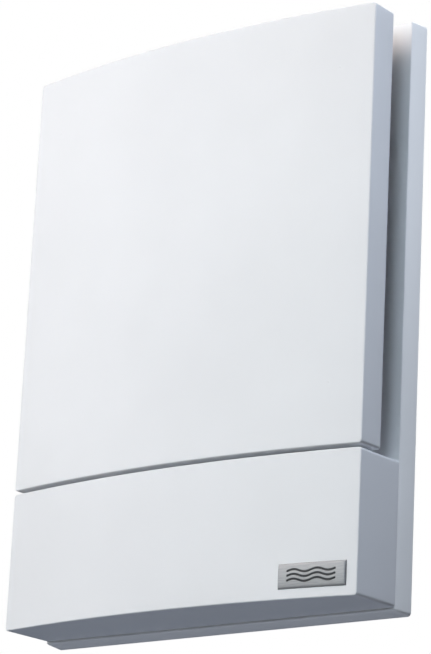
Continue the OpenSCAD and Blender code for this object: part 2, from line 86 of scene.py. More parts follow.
# Each corner P of a closed (a, b) polygon becomes the curve (1 - t)^2 A + 2 t (1 - t) P + t^2 B, where A
# and B lie radius away from P on its two sides, or 0.45 of the shorter side where that is less.
def softened(corners, radius, steps=3):
    p = np.asarray(corners, float)
    before, after = np.roll(p, 1, 0) - p, np.roll(p, -1, 0) - p
    lb, la = np.linalg.norm(before, axis=1, keepdims=True), np.linalg.norm(after, axis=1, keepdims=True)
    r = np.minimum(np.minimum(lb, la) * 0.45, radius)
    start, end = p + before / lb * r, p + after / la * r
    t = np.linspace(0, 1, steps + 1)[None, :, None]
    arc = (1 - t) ** 2 * start[:, None] + 2 * t * (1 - t) * p[:, None] + t ** 2 * end[:, None]
    return arc.reshape(-1, 2)

# Ring about (x, z) with a softened rectangular section, from radius r0 and depth y0 to r1 and y1.
def collar(r0, y0, r1, y1, soft, x=0, z=0, steps=160):
    return turned(softened([(r0, y0), (r1, y0), (r1, y1), (r0, y1)], soft), x, z, steps)

# Rectangle outline with round corners, shrunk by inset: evenly spaced points along each side and quarter
# circles of side - 1 and corner + 1 points.
def roundRect(x0, z0, x1, z1, r, inset=0.0, side=24, corner=8):
    x0, z0, x1, z1 = x0 + inset, z0 + inset, x1 - inset, z1 - inset
    r = max(r - inset, 1e-4)
    r = min(r, (x1 - x0) / 2, (z1 - z0) / 2)
    a = np.linspace(0, np.pi / 2, corner + 1)
    t = np.linspace(0, 1, side + 1)[1:-1, None]
    arcs = []
    for k, (cx, cz) in enumerate(((x1 - r, z1 - r), (x0 + r, z1 - r), (x0 + r, z0 + r), (x1 - r, z0 + r))):
        angle = a + math.radians(90 * k)
        arcs.append(np.stack([cx + r * np.cos(angle), cz + r * np.sin(angle)], -1))
    runs = []
    for k in range(4):
        runs += [arcs[k], arcs[k][-1] + t * (arcs[(k + 1) % 4][0] - arcs[k][-1])]
    return np.concatenate(runs)

def circle(x, z, r, steps=64):
    a = np.linspace(0, 2 * np.pi, steps, endpoint=False)
    return np.stack([x + r * np.cos(a), z + r * np.sin(a)], -1)

# A round hole as a function of how much it grows, and a disc as a function of how much it shrinks.
def roundHole(x, z, r, steps=160):
    return lambda grown: circle(x, z, r + grown, steps)

def disc(r):
    return lambda inset: circle(0, 0, r - inset, 160)

# Flat triangulation of an outline with holes in it.
def filled(outlines):
    edges, start = [], 0
    for loop in outlines:
        n = len(loop)
        edges += [(start + k, start + (k + 1) % n) for k in range(n)]
        start += n
    found = delaunay_2d_cdt([tuple(p) for p in np.concatenate(outlines)], edges, [], 0, 1e-7)
    flat = np.array([tuple(v) for v in found[0]])
    tris = np.array(found[2])
    middle = flat[tris].mean(1)
    keep = insideOf(middle, outlines[0])
    for hole in outlines[1:]:
        keep &= ~insideOf(middle, hole)
    return flat, tris[keep]

# Which points lie inside a closed outline, by counting the edges crossed on the way out along +X.
def insideOf(points, outline):
    a, b = outline, np.roll(outline, -1, 0)
    px, pz = points[:, 0][:, None], points[:, 1][:, None]
    crosses = (a[:, 1] > pz) != (b[:, 1] > pz)
    with np.errstate(divide="ignore", invalid="ignore"):
        at = a[:, 0] + (pz - a[:, 1]) * (b[:, 0] - a[:, 0]) / (b[:, 1] - a[:, 1])
    return (np.sum(crosses & (px < at), 1) % 2) == 1

def joined(parts):
    points, faces, start = [], [], 0
    for p, f in parts:
        points.append(np.asarray(p, float))
        faces += [[v + start for v in face] for face in f]
        start += len(p)
    return np.concatenate(points), faces

# A moulded plate from y0 to y1. outer(inset) gives its outline and each hole(grown) a hole's. The edges are
# rounded by walking (inset, y) round a quarter circle of the edge radius.
def plate(outer, holes, y0, y1, edge=0.4, steps=3):
    a = np.linspace(0, np.pi / 2, steps + 1)
    rim = [(edge * (1 - math.sin(t)), y0 + edge * (1 - math.cos(t))) for t in a]
    rim += [(edge * (1 - math.cos(t)), y1 - edge * (1 - math.sin(t))) for t in a]
    parts = [loft([atDepth(outer(inset), y) for inset, y in rim])]
    for hole in holes:
        points, quads = loft([atDepth(hole(-inset), y) for inset, y in rim])
        parts.append((points, [q[::-1] for q in quads]))
    flat, tris = filled([outer(edge)] + [hole(-edge) for hole in holes])
    return joined(parts + [(atDepth(flat, y0), tris.tolist()), (atDepth(flat, y1), tris[:, ::-1].tolist())])

# Bar with a rounded-rectangle outline in X and Z, from y0 to y1, with softened ends.
def bar(x0, z0, x1, z1, y0, y1, corner=0.4, edge=0.25):
    return plate(lambda inset: roundRect(x0, z0, x1, z1, corner, inset, 2, 3), [], y0, y1, edge, 2)

# Makes the object: welds doubles, points every closed shell outwards, smooths all but the sharp edges. It
# stands for the CAD node that gives it the first part of its name.
def makePiece(stands, kind, parts, material, body="base", sharp=35, tint=None):
    weld = 2e-6
    points, faces = joined(parts)
    mesh = bpy.data.meshes.new(stands + "_" + kind)
    mesh.from_pydata((points * mm).tolist(), [], faces)
    if tint is not None:
        mesh.attributes.new("tint", "FLOAT", "POINT").data.foreach_set("value", np.asarray(tint, "f"))
    work = bmesh.new()
    work.from_mesh(mesh)
    bmesh.ops.remove_doubles(work, verts=work.verts, dist=weld)
    bmesh.ops.dissolve_degenerate(work, dist=weld, edges=work.edges)
    bmesh.ops.recalc_face_normals(work, faces=work.faces)
    work.to_mesh(mesh)
    work.free()
    mesh.shade_smooth()
    mesh.set_sharp_from_angle(angle=math.radians(sharp))
    piece = bpy.data.objects.new(stands + "_" + kind, mesh)
    bpy.context.collection.objects.link(piece)
    mesh.materials.append(material)
    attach(piece, body)
    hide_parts(stands)
    return piece

# Makes one node, sets its inputs or settings from fixed, and links the rest. In a link's key _ is a blank.
def node(tree, kind, fixed=None, **links):
    n = tree.nodes.new(kind)
    for key, value in (fixed or {}).items():
        if key in n.inputs:
            n.inputs[key].default_value = value
        else:
            setattr(n, key, value)
    drive(tree, n, **links)
    return n

def drive(tree, n, **links):
    for key, source in links.items():
        tree.links.new(source, n.inputs[key.replace("_", " ")])

def newMaterial(name, **fixed):
    m = bpy.data.materials.new(name)
    m.use_nodes = True
    shader = m.node_tree.nodes["Principled BSDF"]
    for key, value in fixed.items():
        shader.inputs[key.replace("_", " ")].default_value = value
    return m, m.node_tree, shader, node(m.node_tree, "ShaderNodeTexCoord").outputs["Object"]

# Small steps that the materials share: a colour ramp, a value range, noise, round cells, a stretched or
# turned space, a sum or product of two values, a mix of two colours and a bump.
def ramp(tree, source, *stops):
    r = node(tree, "ShaderNodeValToRGB", Fac=source)
    elements = r.color_ramp.elements
    for k in (0, -1):
        elements[k].position, elements[k].color = stops[k][0], (*stops[k][1], 1)
    for place, colour in stops[1:-1]:
        elements.new(place).color = (*colour, 1)
    return r.outputs["Color"]

def span(tree, source, low, high):
    return node(tree, "ShaderNodeMapRange", {"To Min": low, "To Max": high}, Value=source).outputs["Result"]

def noise(tree, coords, scale, detail=3.0, rough=0.55):
    fixed = {"Scale": scale, "Detail": detail, "Roughness": rough}
    return node(tree, "ShaderNodeTexNoise", fixed, Vector=coords).outputs["Fac"]

def cells(tree, coords, scale, output="Distance", **fixed):
    return node(tree, "ShaderNodeTexVoronoi", {"Scale": scale, **fixed}, Vector=coords).outputs[output]

def laid(tree, coords, scale=(1, 1, 1), turn=(0, 0, 0)):
    n = node(tree, "ShaderNodeMapping", {"Scale": scale, "Rotation": turn}, Vector=coords)
    return n.outputs["Vector"]

def maths(tree, operation, a, b):
    n = node(tree, "ShaderNodeMath", {"operation": operation})
    tree.links.new(a, n.inputs[0])
    tree.links.new(b, n.inputs[1])
    return n.outputs[0]

def mixed(tree, a, b, factor):
    n = node(tree, "ShaderNodeMix", {"data_type": "RGBA", "blend_type": "MULTIPLY", "Factor": factor})
    tree.links.new(a, n.inputs[6])
    tree.links.new(b, n.inputs[7])
    return n.outputs[2]

def bump(tree, shader, height, strength, distance):
    n = node(tree, "ShaderNodeBump", {"Strength": strength, "Distance": distance}, Height=height)
    tree.links.new(n.outputs["Normal"], shader.inputs["Normal"])

def shade(colour, times, plus=0.0):
    return tuple(min(c * times + plus, 1) for c in colour)

# Moulded plastic: spark-eroded grain of fine cells over a slow drift of tone, dull where the grain is deep.
def mouldedPlastic(name, colour, rough=0.42, grain=1500, grainDepth=0.00002):
    drift = 0.02
    m, tree, shader, coords = newMaterial(name, Roughness=rough, IOR=1.50)
    fine = noise(tree, coords, grain, 2, 0.6)
    slow = noise(tree, coords, 14, 2)
    tone = ramp(tree, slow, (0.3, shade(colour, 1 - drift)), (0.7, shade(colour, 1 + drift)))
    drive(tree, shader, Base_Color=tone, Roughness=span(tree, fine, rough - 0.05, rough + 0.06))
    bump(tree, shader, maths(tree, "ADD", fine, cells(tree, coords, grain * 0.7)), 0.25, grainDepth)
    return m

# The plate is the casing's plastic made paler than any real plastic, to paint in the extra light that its
# right side and front edge catch.
casingLook = {"colour": (0.80, 0.815, 0.845), "plateLitColour": (0.965, 0.97, 0.975), "rough": 0.40}
casingPlastic = mouldedPlastic("casingPlastic", casingLook["colour"], casingLook["rough"])
plateLitPlastic = mouldedPlastic("plateLitPlastic", casingLook["plateLitColour"], casingLook["rough"])

# Satin aluminium: hairlines along X, a slow tone change, dark lacquer in the engraved lines from the tint.
def badgeMetal(look):
    m, tree, shader, coords = newMaterial("badgeMetal", Metallic=0.45, Roughness=0.5)
    hair = noise(tree, laid(tree, coords, (40, 900, 3200)), 1.0, 3, 0.6)
    tint = node(tree, "ShaderNodeAttribute", {"attribute_name": "tint"}).outputs["Fac"]
    mix = node(tree, "ShaderNodeMix", {"data_type": "RGBA"}, Factor=tint)
    tree.links.new(ramp(tree, hair, (0.25, look["dark"]), (0.75, look["light"])), mix.inputs[6])
    mix.inputs[7].default_value = (*look["ink"], 1)
    drive(tree, shader, Base_Color=mix.outputs[2], Roughness=span(tree, hair, 0.42, 0.58))
    bump(tree, shader, hair, 0.2, 0.00003)
    return m

badgeLook = {"dark": (0.27, 0.275, 0.29), "light": (0.40, 0.405, 0.42), "ink": (0.03, 0.032, 0.036)}

# Glass-filled nylon: dark, with pale flecks of fibre lying every way and a dull moulded skin.
def fibrePlastic(name, colour, rough):
    m, tree, shader, coords = newMaterial(name, Roughness=rough, IOR=1.53)
    fleck = noise(tree, laid(tree, coords, (900, 260, 700), (0.4, 0.2, 0.7)), 1.0, 4, 0.7)
    drive(tree, shader, Base_Color=ramp(tree, fleck, (0.45, colour), (0.72, shade(colour, 1.9, 0.01))),
          Roughness=span(tree, noise(tree, coords, 60, 3), rough - 0.1, rough + 0.1))
    bump(tree, shader, fleck, 0.3, 0.00003)
    return m

# Rubber: matt, with a faint pale bloom in drifting patches and a fine ground surface.
def softRubber(name, colour):
    m, tree, shader, coords = newMaterial(name, Roughness=0.72, IOR=1.45)
    bloom = noise(tree, coords, 90, 5, 0.65)
    drive(tree, shader, Base_Color=ramp(tree, bloom, (0.40, colour), (0.75, shade(colour, 2.2, 0.01))),
          Roughness=span(tree, bloom, 0.62, 0.85))
    bump(tree, shader, noise(tree, coords, 2600, 2), 0.35, 0.00003)
    return m

# Open-cell foam: round cells of two sizes, with painted shade darkening the pores and the webs between them
# paler.
def cellFoam(name, colour, cell=1400):
    m, tree, shader, coords = newMaterial(name, Roughness=0.95, IOR=1.3)
    both = maths(tree, "MULTIPLY", cells(tree, coords, cell * 0.6), cells(tree, coords, cell * 1.7))
    # The dark first stop is painted shade in the pores; the last stop makes the webs paler.
    drive(tree, shader, Base_Color=ramp(tree, both, (0.02, shade(colour, 0.35)), (0.18, colour),
                                        (0.42, shade(colour, 1.35))))
    bump(tree, shader, both, 0.9, 0.0003)
    return m

# Particle foam: beads about 3 mm across, fused flat, with a dark line where they meet.
def beadFoam(name, colour, bead=330.0):
    m, tree, shader, coords = newMaterial(name, Roughness=0.8, IOR=1.4)
    edge = cells(tree, coords, bead, feature="DISTANCE_TO_EDGE")
    own = cells(tree, coords, bead, "Color")
    tone = ramp(tree, own, (0.2, shade(colour, 0.85)), (0.8, shade(colour, 1.25)))
    line = ramp(tree, edge, (0.0, (0.35, 0.35, 0.35)), (0.12, (1, 1, 1)))
    drive(tree, shader, Base_Color=mixed(tree, tone, line, 1.0))
    bump(tree, shader, edge, 0.6, 0.0006)
    return m

# Filter fleece: long pale fibres crossing at two angles over a cloudy web, with a faint sheen.
def fleece(name, colour):
    m, tree, shader, coords = newMaterial(name, Roughness=0.9, Sheen_Weight=0.25)
    fibres = [noise(tree, laid(tree, coords, (2600, 700, 180), turn), 1.0, 4, 0.7)
              for turn in ((0.3, 0.0, 0.5), (-0.5, 0.4, -0.9))]
    both = maths(tree, "MULTIPLY", *fibres)
    drive(tree, shader, Base_Color=ramp(tree, both, (0.12, shade(colour, 0.72)), (0.42, colour)))
    bump(tree, shader, both, 0.8, 0.0003)
    return m

# Metal: fine scratches stretched along the given scale, tone and roughness drifting with them.
def metal(name, dark, light, rough, scale):
    m, tree, shader, coords = newMaterial(name, Metallic=1.0, Roughness=rough)
    grain = noise(tree, laid(tree, coords, scale), 1.0, 3, 0.6)
    drive(tree, shader, Base_Color=ramp(tree, grain, (0.3, dark), (0.7, light)),
          Roughness=span(tree, noise(tree, coords, 120, 4), rough - 0.08, rough + 0.14))
    bump(tree, shader, grain, 0.25, 0.00002)
    return m

# Stripes along Y, one each pitch: dark lines of a wave over the base metal, for windings and stacked sheets.
def striped(name, dark, light, pitch, rough):
    m, tree, shader, coords = newMaterial(name, Metallic=1.0, Roughness=rough)
    bands = {"wave_type": "BANDS", "bands_direction": "Y", "Scale": 0.31 / pitch, "Distortion": 0.6,
             "Detail": 2.0, "Detail Scale": 3.0}
    wave = node(tree, "ShaderNodeTexWave", bands, Vector=coords).outputs["Fac"]
    drive(tree, shader, Base_Color=ramp(tree, wave, (0.1, dark), (0.6, light)),
          Roughness=span(tree, noise(tree, coords, 200, 3), rough - 0.08, rough + 0.12))
    bump(tree, shader, wave, 0.6, pitch * 0.4)
    return m

# Circuit board: green lacquer over a net of copper tracks that show as paler, raised green lines.
def boardLook(name):
    m, tree, shader, coords = newMaterial(name, Roughness=0.3, IOR=1.52, Coat_Weight=0.4)
    brick = node(tree, "ShaderNodeTexBrick",
                 {"Scale": 110.0, "Mortar Size": 0.035, "Mortar Smooth": 0.2, "Bias": 0.0, "Brick Width": 0.9,
                  "Row Height": 0.22, "Color1": (0.010, 0.105, 0.045, 1), "Color2": (0.014, 0.125, 0.055, 1),
                  "Mortar": (0.045, 0.26, 0.11, 1)}, Vector=laid(tree, coords, turn=(math.pi / 2, 0, 0)))
    drive(tree, shader, Base_Color=brick.outputs["Color"],
          Roughness=span(tree, noise(tree, coords, 300, 3), 0.22, 0.4))
    bump(tree, shader, brick.outputs["Fac"], 0.4, 0.00004)
    return m

# Cordierite: unglazed, warm tan, with iron specks and a gritty fired skin.
def firedClay(name, colour):
    m, tree, shader, coords = newMaterial(name, Roughness=0.88, IOR=1.5)
    tone = ramp(tree, noise(tree, coords, 70, 5, 0.6), (0.3, shade(colour, 0.84)), (0.7, colour))
    dots = ramp(tree, cells(tree, coords, 1100.0), (0.06, (0.45, 0.36, 0.28)), (0.16, (1, 1, 1)))
    drive(tree, shader, Base_Color=mixed(tree, tone, dots, 0.6))
    bump(tree, shader, noise(tree, coords, 1900, 4, 0.7), 0.5, 0.00008)
    return m

ventLook = {"duct": (0.56, 0.575, 0.60), "guide": (0.66, 0.67, 0.69), "slide": (0.86, 0.85, 0.80),
            "filter": (0.78, 0.79, 0.81), "fan": (0.012, 0.013, 0.015), "plug": (0.78, 0.75, 0.62),
            "terminal": (0.015, 0.16, 0.05), "foam": (0.105, 0.11, 0.12), "bead": (0.035, 0.038, 0.042),
            "fleece": (0.80, 0.82, 0.84), "clay": (0.62, 0.50, 0.37), "slider": (0.86, 0.86, 0.86),
            "black": (0.008, 0.008, 0.009), "rubber": (0.035, 0.036, 0.038), "sheath": (0.02, 0.02, 0.022),
            "ferrite": (0.035, 0.035, 0.038), "fuse": (0.80, 0.80, 0.77), "mesh": (0.035, 0.035, 0.038)}
ductPlastic = mouldedPlastic("ductPlastic", ventLook["duct"], 0.5, 900, 0.00003)
guidePlastic = mouldedPlastic("guidePlastic", ventLook["guide"], 0.36, 1300, 0.00001)
slidePlastic = mouldedPlastic("slidePlastic", ventLook["slide"], 0.3, 1300, 0.00001)
filterPlastic = mouldedPlastic("filterPlastic", ventLook["filter"], 0.42, 1300)
plugPlastic = mouldedPlastic("plugPlastic", ventLook["plug"], 0.4, 1300)
terminalPlastic = mouldedPlastic("terminalPlastic", ventLook["terminal"], 0.4, 1300)
sliderPlastic = mouldedPlastic("sliderPlastic", ventLook["slider"], 0.35, 1300)
fanPlastic = fibrePlastic("fanPlastic", ventLook["fan"], 0.42)
blackPlastic = fibrePlastic("blackPlastic", ventLook["black"], 0.35)
rubber = softRubber("rubber", ventLook["rubber"])
sheath = mouldedPlastic("sheath", ventLook["sheath"], 0.45, 1800, 0.00001)
greyFoam = cellFoam("greyFoam", ventLook["foam"])
particleFoam = beadFoam("particleFoam", ventLook["bead"])
filterFleece = fleece("filterFleece", ventLook["fleece"])
turnedLines = (260, 3200, 260)
zincSteel = metal("zincSteel", (0.50, 0.51, 0.54), (0.72, 0.73, 0.75), 0.28, (700, 700, 700))
turnedSteel = metal("turnedSteel", (0.42, 0.43, 0.45), (0.66, 0.67, 0.69), 0.24, turnedLines)
turnedBrass = metal("turnedBrass", (0.58, 0.42, 0.16), (0.80, 0.62, 0.28), 0.26, turnedLines)
canMetal = metal("canMetal", (0.62, 0.63, 0.65), (0.80, 0.81, 0.83), 0.22, (300, 300, 2600))
copperWire = striped("copperWire", (0.20, 0.07, 0.03), (0.78, 0.33, 0.14), 0.0006, 0.3)
sheetStack = striped("sheetStack", (0.10, 0.10, 0.11), (0.42, 0.43, 0.45), 0.0005, 0.42)
boardLacquer = boardLook("boardLacquer")
clay = firedClay("clay", ventLook["clay"])
ferrite = firedClay("ferrite", ventLook["ferrite"])
fuseClay = firedClay("fuseClay", ventLook["fuse"])
meshFibre = mouldedPlastic("meshFibre", ventLook["mesh"], 0.5, 2600, 0.00002)
print("stage: materials ready")

# Casing: the curved front panel and the lower cover share one front surface.
casing = {"halfWidth": 110.0, "panelTop": 112.75, "panelBottom": -112.75, "coverTop": -114.75,
          "coverBottom": -186.25, "sideDepth": 43.6, "bulge": 10.0, "panelBack": -28.1,
          "plateFront": -12.0, "wall": 2.5, "corner": 1.6, "edge": 0.55, "backEdge": 0.35, "rings": 26,
          "sideSteps": 40, "cornerSteps": 8}
arcRadius = (casing["halfWidth"] ** 2 + casing["bulge"] ** 2) / (2 * casing["bulge"])
arcCentre = arcRadius - casing["sideDepth"] - casing["bulge"]

# Depth of the front at x: the near side of a circle of arcRadius about (0, arcCentre), moved in by inset.
def frontDepth(x, inset=0.0):
    return arcCentre - np.sqrt((arcRadius - inset) ** 2 - np.asarray(x) ** 2)

# One loop of a rounded rectangle, level at depth y, or y behind the front surface moved in by face.
def rectRing(rect, inset, y, face=None):
    x0, z0, x1, z1, corner, side, steps = rect
    flat = roundRect(x0, z0, x1, z1, corner, inset, side, steps)
    return atDepth(flat, y if face is None else frontDepth(flat[:, 0], face) + y)

# A curved-front shell: loops of the rounded rectangle walk from the middle of the front, over the rounded
# edge, back along the side, round the rim and up the inside to the middle again. Where topHoles gives (x,
# y, wide, narrow, depth), the top wall's quads are left out and it is filled flat, with stepped round holes
# through it.
def curvedShell(z0, z1, yBack, size, topHoles=()):
    hw, wall, edge, backEdge = size["halfWidth"], size["wall"], size["edge"], size["backEdge"]
    reach = min(hw, (z1 - z0) / 2) - 1e-4
    loops = []
    rect = (-hw, z0, hw, z1, size["corner"], size["sideSteps"], size["cornerSteps"])
    def ring(inset, y, face=None):
        loops.append(rectRing(rect, inset, y, face))
    steps = np.linspace(1, 0, size["rings"]) ** 1.6
    for s in steps:
        ring(edge + (reach - edge) * s, 0, 0)
    for a in np.linspace(np.pi / 2, 0, 5)[1:]:
        ring(edge * (1 - math.cos(a)), edge * (1 - math.sin(a)), 0)
    outerStart = len(loops) - 1
    for a in np.linspace(0, np.pi / 2, 4):
        ring(backEdge * (1 - math.cos(a)), yBack - backEdge * (1 - math.sin(a)))
    for a in np.linspace(np.pi / 2, 0, 4):
        ring(wall - backEdge * (1 - math.cos(a)), yBack - backEdge * (1 - math.sin(a)))
    innerStart = len(loops) - 1
    for a in np.linspace(0, np.pi / 2, 4):
        ring(wall + edge * (1 - math.cos(a)), edge * (1 - math.sin(a)), wall)
    for s in steps[::-1][1:]:
        ring(wall + edge + (reach - wall - edge) * s, 0, wall)
    if not topHoles:
        return [loft(loops)]
    grid = np.asarray(loops)
    n = grid.shape[1]
    first, last = size["cornerSteps"], size["cornerSteps"] + size["sideSteps"]
    points, quads = loft(grid)
    q = np.array(quads)
    row, col = q[:, 0] // n, q[:, 0] % n
    top = (col >= first) & (col < last) & ((row == outerStart) | (row == innerStart))
    parts = [(points, q[~top].tolist())]
    run = slice(first, last + 1)
    for start, z, radius in ((outerStart, z1, 2), (innerStart, z1 - wall, 3)):
        outline = np.concatenate([grid[start, run, :2], grid[start + 1, run, :2][::-1]])
        flat, tris = filled([outline] + [circle(h[0], h[1], h[radius], 48) for h in topHoles])
        parts.append((np.stack([flat[:, 0], flat[:, 1], np.full(len(flat), z)], -1), tris.tolist()))
    for x, y, wide, narrow, deep in topHoles:
        stairs = [(wide, z1), (wide, z1 - deep), (narrow, z1 - deep), (narrow, z1 - wall)]
        parts.append(loft([np.concatenate([circle(x, y, r, 48), np.full((48, 1), z)], 1) for r, z in stairs]))
    return parts

panelInside = {"ribOut": 93.5, "ribThick": 2.0, "ribTip": -28.8, "guide": 81.0, "boss": 6.0,
               "bossTip": -38.0, "gusset": (84, 92), "stiffeners": (-60, -30, 0, 30, 60),
               "stiffZ": (92.5, 110.5), "stiffTip": -34.1, "halfRib": 0.8, "ribRoot": -39, "sunk": 1.4}
guides = [(sx * panelInside["guide"], sz * panelInside["guide"]) for sz in (1, -1) for sx in (-1, 1)]
corners = ("top_left", "top_right", "bottom_left", "bottom_right")

# The ring rib is a square frame whose root follows the curved wall and whose tip is level; the rest are
# bosses, gussets and stiffeners that start inside the wall.
def panelInsides(p):
    out, thick, tip, t, sunk = p["ribOut"], p["ribThick"], p["ribTip"], p["halfRib"], p["sunk"]
    frameRect = (-out, -out, out, out, 1.0, 30, 3)
    section = softened([(0, tip - 6), (0, tip), (thick, tip), (thick, tip - 6)], 0.5)[4:12]
    loops = [rectRing(frameRect, 0, 0, 1.6)] + [rectRing(frameRect, inset, y) for inset, y in section]
    parts = [loft(loops + [rectRing(frameRect, thick, 0, 1.6)], True)]
    r, end = p["boss"], p["bossTip"]
    for x, z in guides:
        root = float(frontDepth(x, sunk))
        boss = [(0, root), (r + 0.6, root), (r, root + 2.2), (r, end - 0.5), (r - 0.5, end), (0, end)]
        x0, x1 = sorted(np.sign(x) * v for v in p["gusset"])
        parts += [turned(boss, x, z, 64), bar(x0, z - t, x1, z + t, root, p["ribRoot"])]
    for x in p["stiffeners"]:
        for s in (-1, 1):
            z0, z1 = sorted(s * v for v in p["stiffZ"])
            parts.append(bar(x - t, z0, x + t, z1, float(frontDepth(x, sunk)), p["stiffTip"]))
    return parts

panelParts = curvedShell(casing["panelBottom"], casing["panelTop"], casing["panelBack"], casing)
panelParts += panelInsides(panelInside)
makePiece("front_panel", "shell", panelParts, casingPlastic, "front_panel")

coverInside = {"hookX": 52, "hookHalf": 8, "ribX": 78, "screwX": 98.0, "screwY": -20.0, "headSeat": 3.2,
               "screwHole": 1.7, "seatDepth": 1.5}

# Two hooks, each a foot with a raised lip, and two ribs between the floor and the top wall.
def coverInsides(p):
    sink = 0.05
    floorZ, roofZ = casing["coverBottom"] + casing["wall"] - sink, casing["coverTop"] - casing["wall"] + sink
    parts = []
    for s in (-1, 1):
        x, half = s * p["hookX"], p["hookHalf"]
        parts += [bar(x - half, floorZ, x + half, floorZ + 1.8, -18, -8),
                  bar(x - half, floorZ, x + half, floorZ + 3.4, -9.3, -7.9)]
        x, t = s * p["ribX"], panelInside["halfRib"]
        root = float(frontDepth(x, panelInside["sunk"]))
        parts.append(bar(x - t, floorZ, x + t, roofZ, root, panelInside["ribRoot"]))
    return parts

c = coverInside
screwSeats = [(s * c["screwX"], c["screwY"], c["headSeat"], c["screwHole"], c["seatDepth"]) for s in (-1, 1)]
coverParts = curvedShell(casing["coverBottom"], casing["coverTop"], casing["plateFront"], casing, screwSeats)
makePiece("lower_cover", "shell", coverParts + coverInsides(coverInside), casingPlastic)
print("stage: curved casing parts made")

plateSize = {"halfWidth": 111.2, "top": 114.75, "bottom": -188.75, "front": -12.0, "skin": -9.5,
             "corner": 2.0, "wall": 2.5, "draft": 1.2, "ductHole": 62.4, "guideHole": 6.05,
             "screwHole": 5.0, "entryHole": 6, "rib": 0.8, "ribRoot": -9.8, "ribBack": -0.6,
             "screwX": 60.0, "screwZ": 103.5, "soft": 0.3}
cableEntry = (-90, -138)
flangeSpots = [(72 * np.cos(a), 72 * np.sin(a)) for a in np.radians([45, 135, 225, 315])]
boardSpots = [(x, z) for x in (-66, 66) for z in (-175, -130)]
clampSpots = [(x, -166) for x in (-100, -80)]
wallSpots = [(sx * plateSize["screwX"], sz * plateSize["screwZ"]) for sx in (-1, 1) for sz in (-1, 1)]

# The plate's tray: loops of the rounded rectangle walk over the edge, which is 0.6 wide above the lower
# cover and widens to a 0.75 by 3 chamfer beside it, back along the drafted side, round the rim and into the
# tray.
def plateTray(p):
    front, skin, draft, wall, soft = p["front"], p["skin"], p["draft"], p["wall"], p["soft"]
    x1, z0, z1 = p["halfWidth"], p["bottom"], p["top"]
    outline, inside = (roundRect(-x1, z0, x1, z1, p["corner"], inset, 80, 10) for inset in (0, 1.0))
    away = inside - outline
    low = 1 / (1 + np.exp((outline[:, 1] + 113.5) / 0.8))     # 1 beside the lower cover, 0 above it
    across, deep = 0.6 + 0.15 * low, 0.6 + 2.4 * low
    loops = []
    def ring(inset, y):
        loops.append(atDepth(outline + away * np.reshape(inset, (-1, 1)), y))
    def innerRing(i, y):
        loops.append(rectRing((i - x1, z0 + i, x1 - i, z1 - i, 0.5 + wall - i, 80, 10), 0, y))
    for a in np.linspace(np.pi / 2, 0, 6):
        ring(draft * (1 - deep * (1 - math.sin(a)) / 12) + across * (1 - math.cos(a)),
             front + deep * (1 - math.sin(a)))
    for a in np.linspace(0, np.pi / 2, 4):
        ring(soft * (1 - math.cos(a)), -soft * (1 - math.sin(a)))
    for a in np.linspace(np.pi / 2, 0, 4):
        innerRing(wall - soft * (1 - math.cos(a)), -soft * (1 - math.sin(a)))
    innerRing(wall, skin)
    parts = [loft(loops)]
    slot = lambda x, z, w, h: (lambda i: roundRect(x - w / 2, z - h / 2, x + w / 2, z + h / 2, 0.8, -i, 4, 4))
    holes = [roundHole(0, 0, p["ductHole"]), roundHole(*cableEntry, p["entryHole"], 48),
             slot(0, -121, 9, 7), slot(-52, -182.55, 17, 3), slot(52, -182.55, 17, 3)]
    holes += [roundHole(x, z, p["guideHole"], 48) for x, z in guides]
    holes += [roundHole(x, z, p["screwHole"], 48) for x, z in wallSpots]
    for y, loop, grown in ((front, loops[0], soft), (skin, loops[-1], 0.0)):
        flat, tris = filled([loop[:, [0, 2]]] + [h(grown) for h in holes])
        parts.append((atDepth(flat, y), tris.tolist()))
    quarter = np.linspace(0, np.pi / 2, 4)
    rows = [(soft - soft * math.sin(t), front + soft - soft * math.cos(t)) for t in quarter]
    return parts + [loft([atDepth(h(i), y) for i, y in rows + [(0.0, skin)]]) for h in holes]

# Post of radius r from inside the skin to its tip, with a 0.3 chamfer.
def post(r, tip, x, z):
    root, lip = -11, 0.3
    edge = tip - lip * np.sign(tip - root)
    return turned([(0, root), (r, root), (r, edge), (r - lip, tip), (0, tip)], x, z, 32)

# Bosses and posts are turned; ribs are bars that stop short of the duct collar and of every bore they would
# cross.
def plateInsides(p):
    parts = [collar(p["ductHole"], -11, 64.8, -0.6, 0.3)]
    sleeveSeat = softened([(6.05, -19), (8, -19), (8, 0), (0.01, 0), (0.01, -0.6), (6.05, -0.6)], 0.3)
    parts += [turned(sleeveSeat, x, z, 64) for x, z in guides]
    parts += [collar(2.6, -10, 7, 0, 0.25, x, z, 48) for x, z in wallSpots]
    parts.append(collar(6, -11, 10, 0, 0.3, *cableEntry, 64))
    for spots, r, tip in ((flangeSpots, 4, -3), (boardSpots, 3.5, -24), (clampSpots, 3.25, -18)):
        parts += [post(r, tip, x, z) for x, z in spots]
    parts += [bar(x - 6, -129.25, x + 6, -117.3, -27, -11, 1.0, 0.4) for x in (-98, 98)]
    t, low, high, clear, side = p["rib"], p["bottom"] + 1.25, p["top"] - 1.25, 63.6, 109.5
    gap = math.sqrt(clear ** 2 - 40 ** 2)
    upright = [(x, low, high) for x in (-72, 72)]
    upright += [(x, z0, z1) for x in (-40, 40) for z0, z1 in ((low, -gap), (gap, high))]
    ribs = [(x - t, z0, x + t, z1) for x, z0, z1 in upright]
    byGuide, byScrew = ((6.5, 74.2), (87.8, side)), ((6.5, 54.2), (65.8, side))
    rows = ((0, [(clear, side)]), (82, byGuide), (-82, byGuide), (103.5, byScrew), (-103.5, byScrew))
    for s in (-1, 1):
        for z, runs in rows:
            ribs += [(min(s * x0, s * x1), z - t, max(s * x0, s * x1), z + t) for x0, x1 in runs]
    ribs += [(4.5, -150 - t, 107.5, -150 + t), (-107.5, -176 - t, -4.5, -176 + t)]
    return parts + [bar(*rib, p["ribRoot"], p["ribBack"]) for rib in ribs]

makePiece("base_plate", "shell", plateTray(plateSize) + plateInsides(plateSize), plateLitPlastic)
print("stage: base plate made")

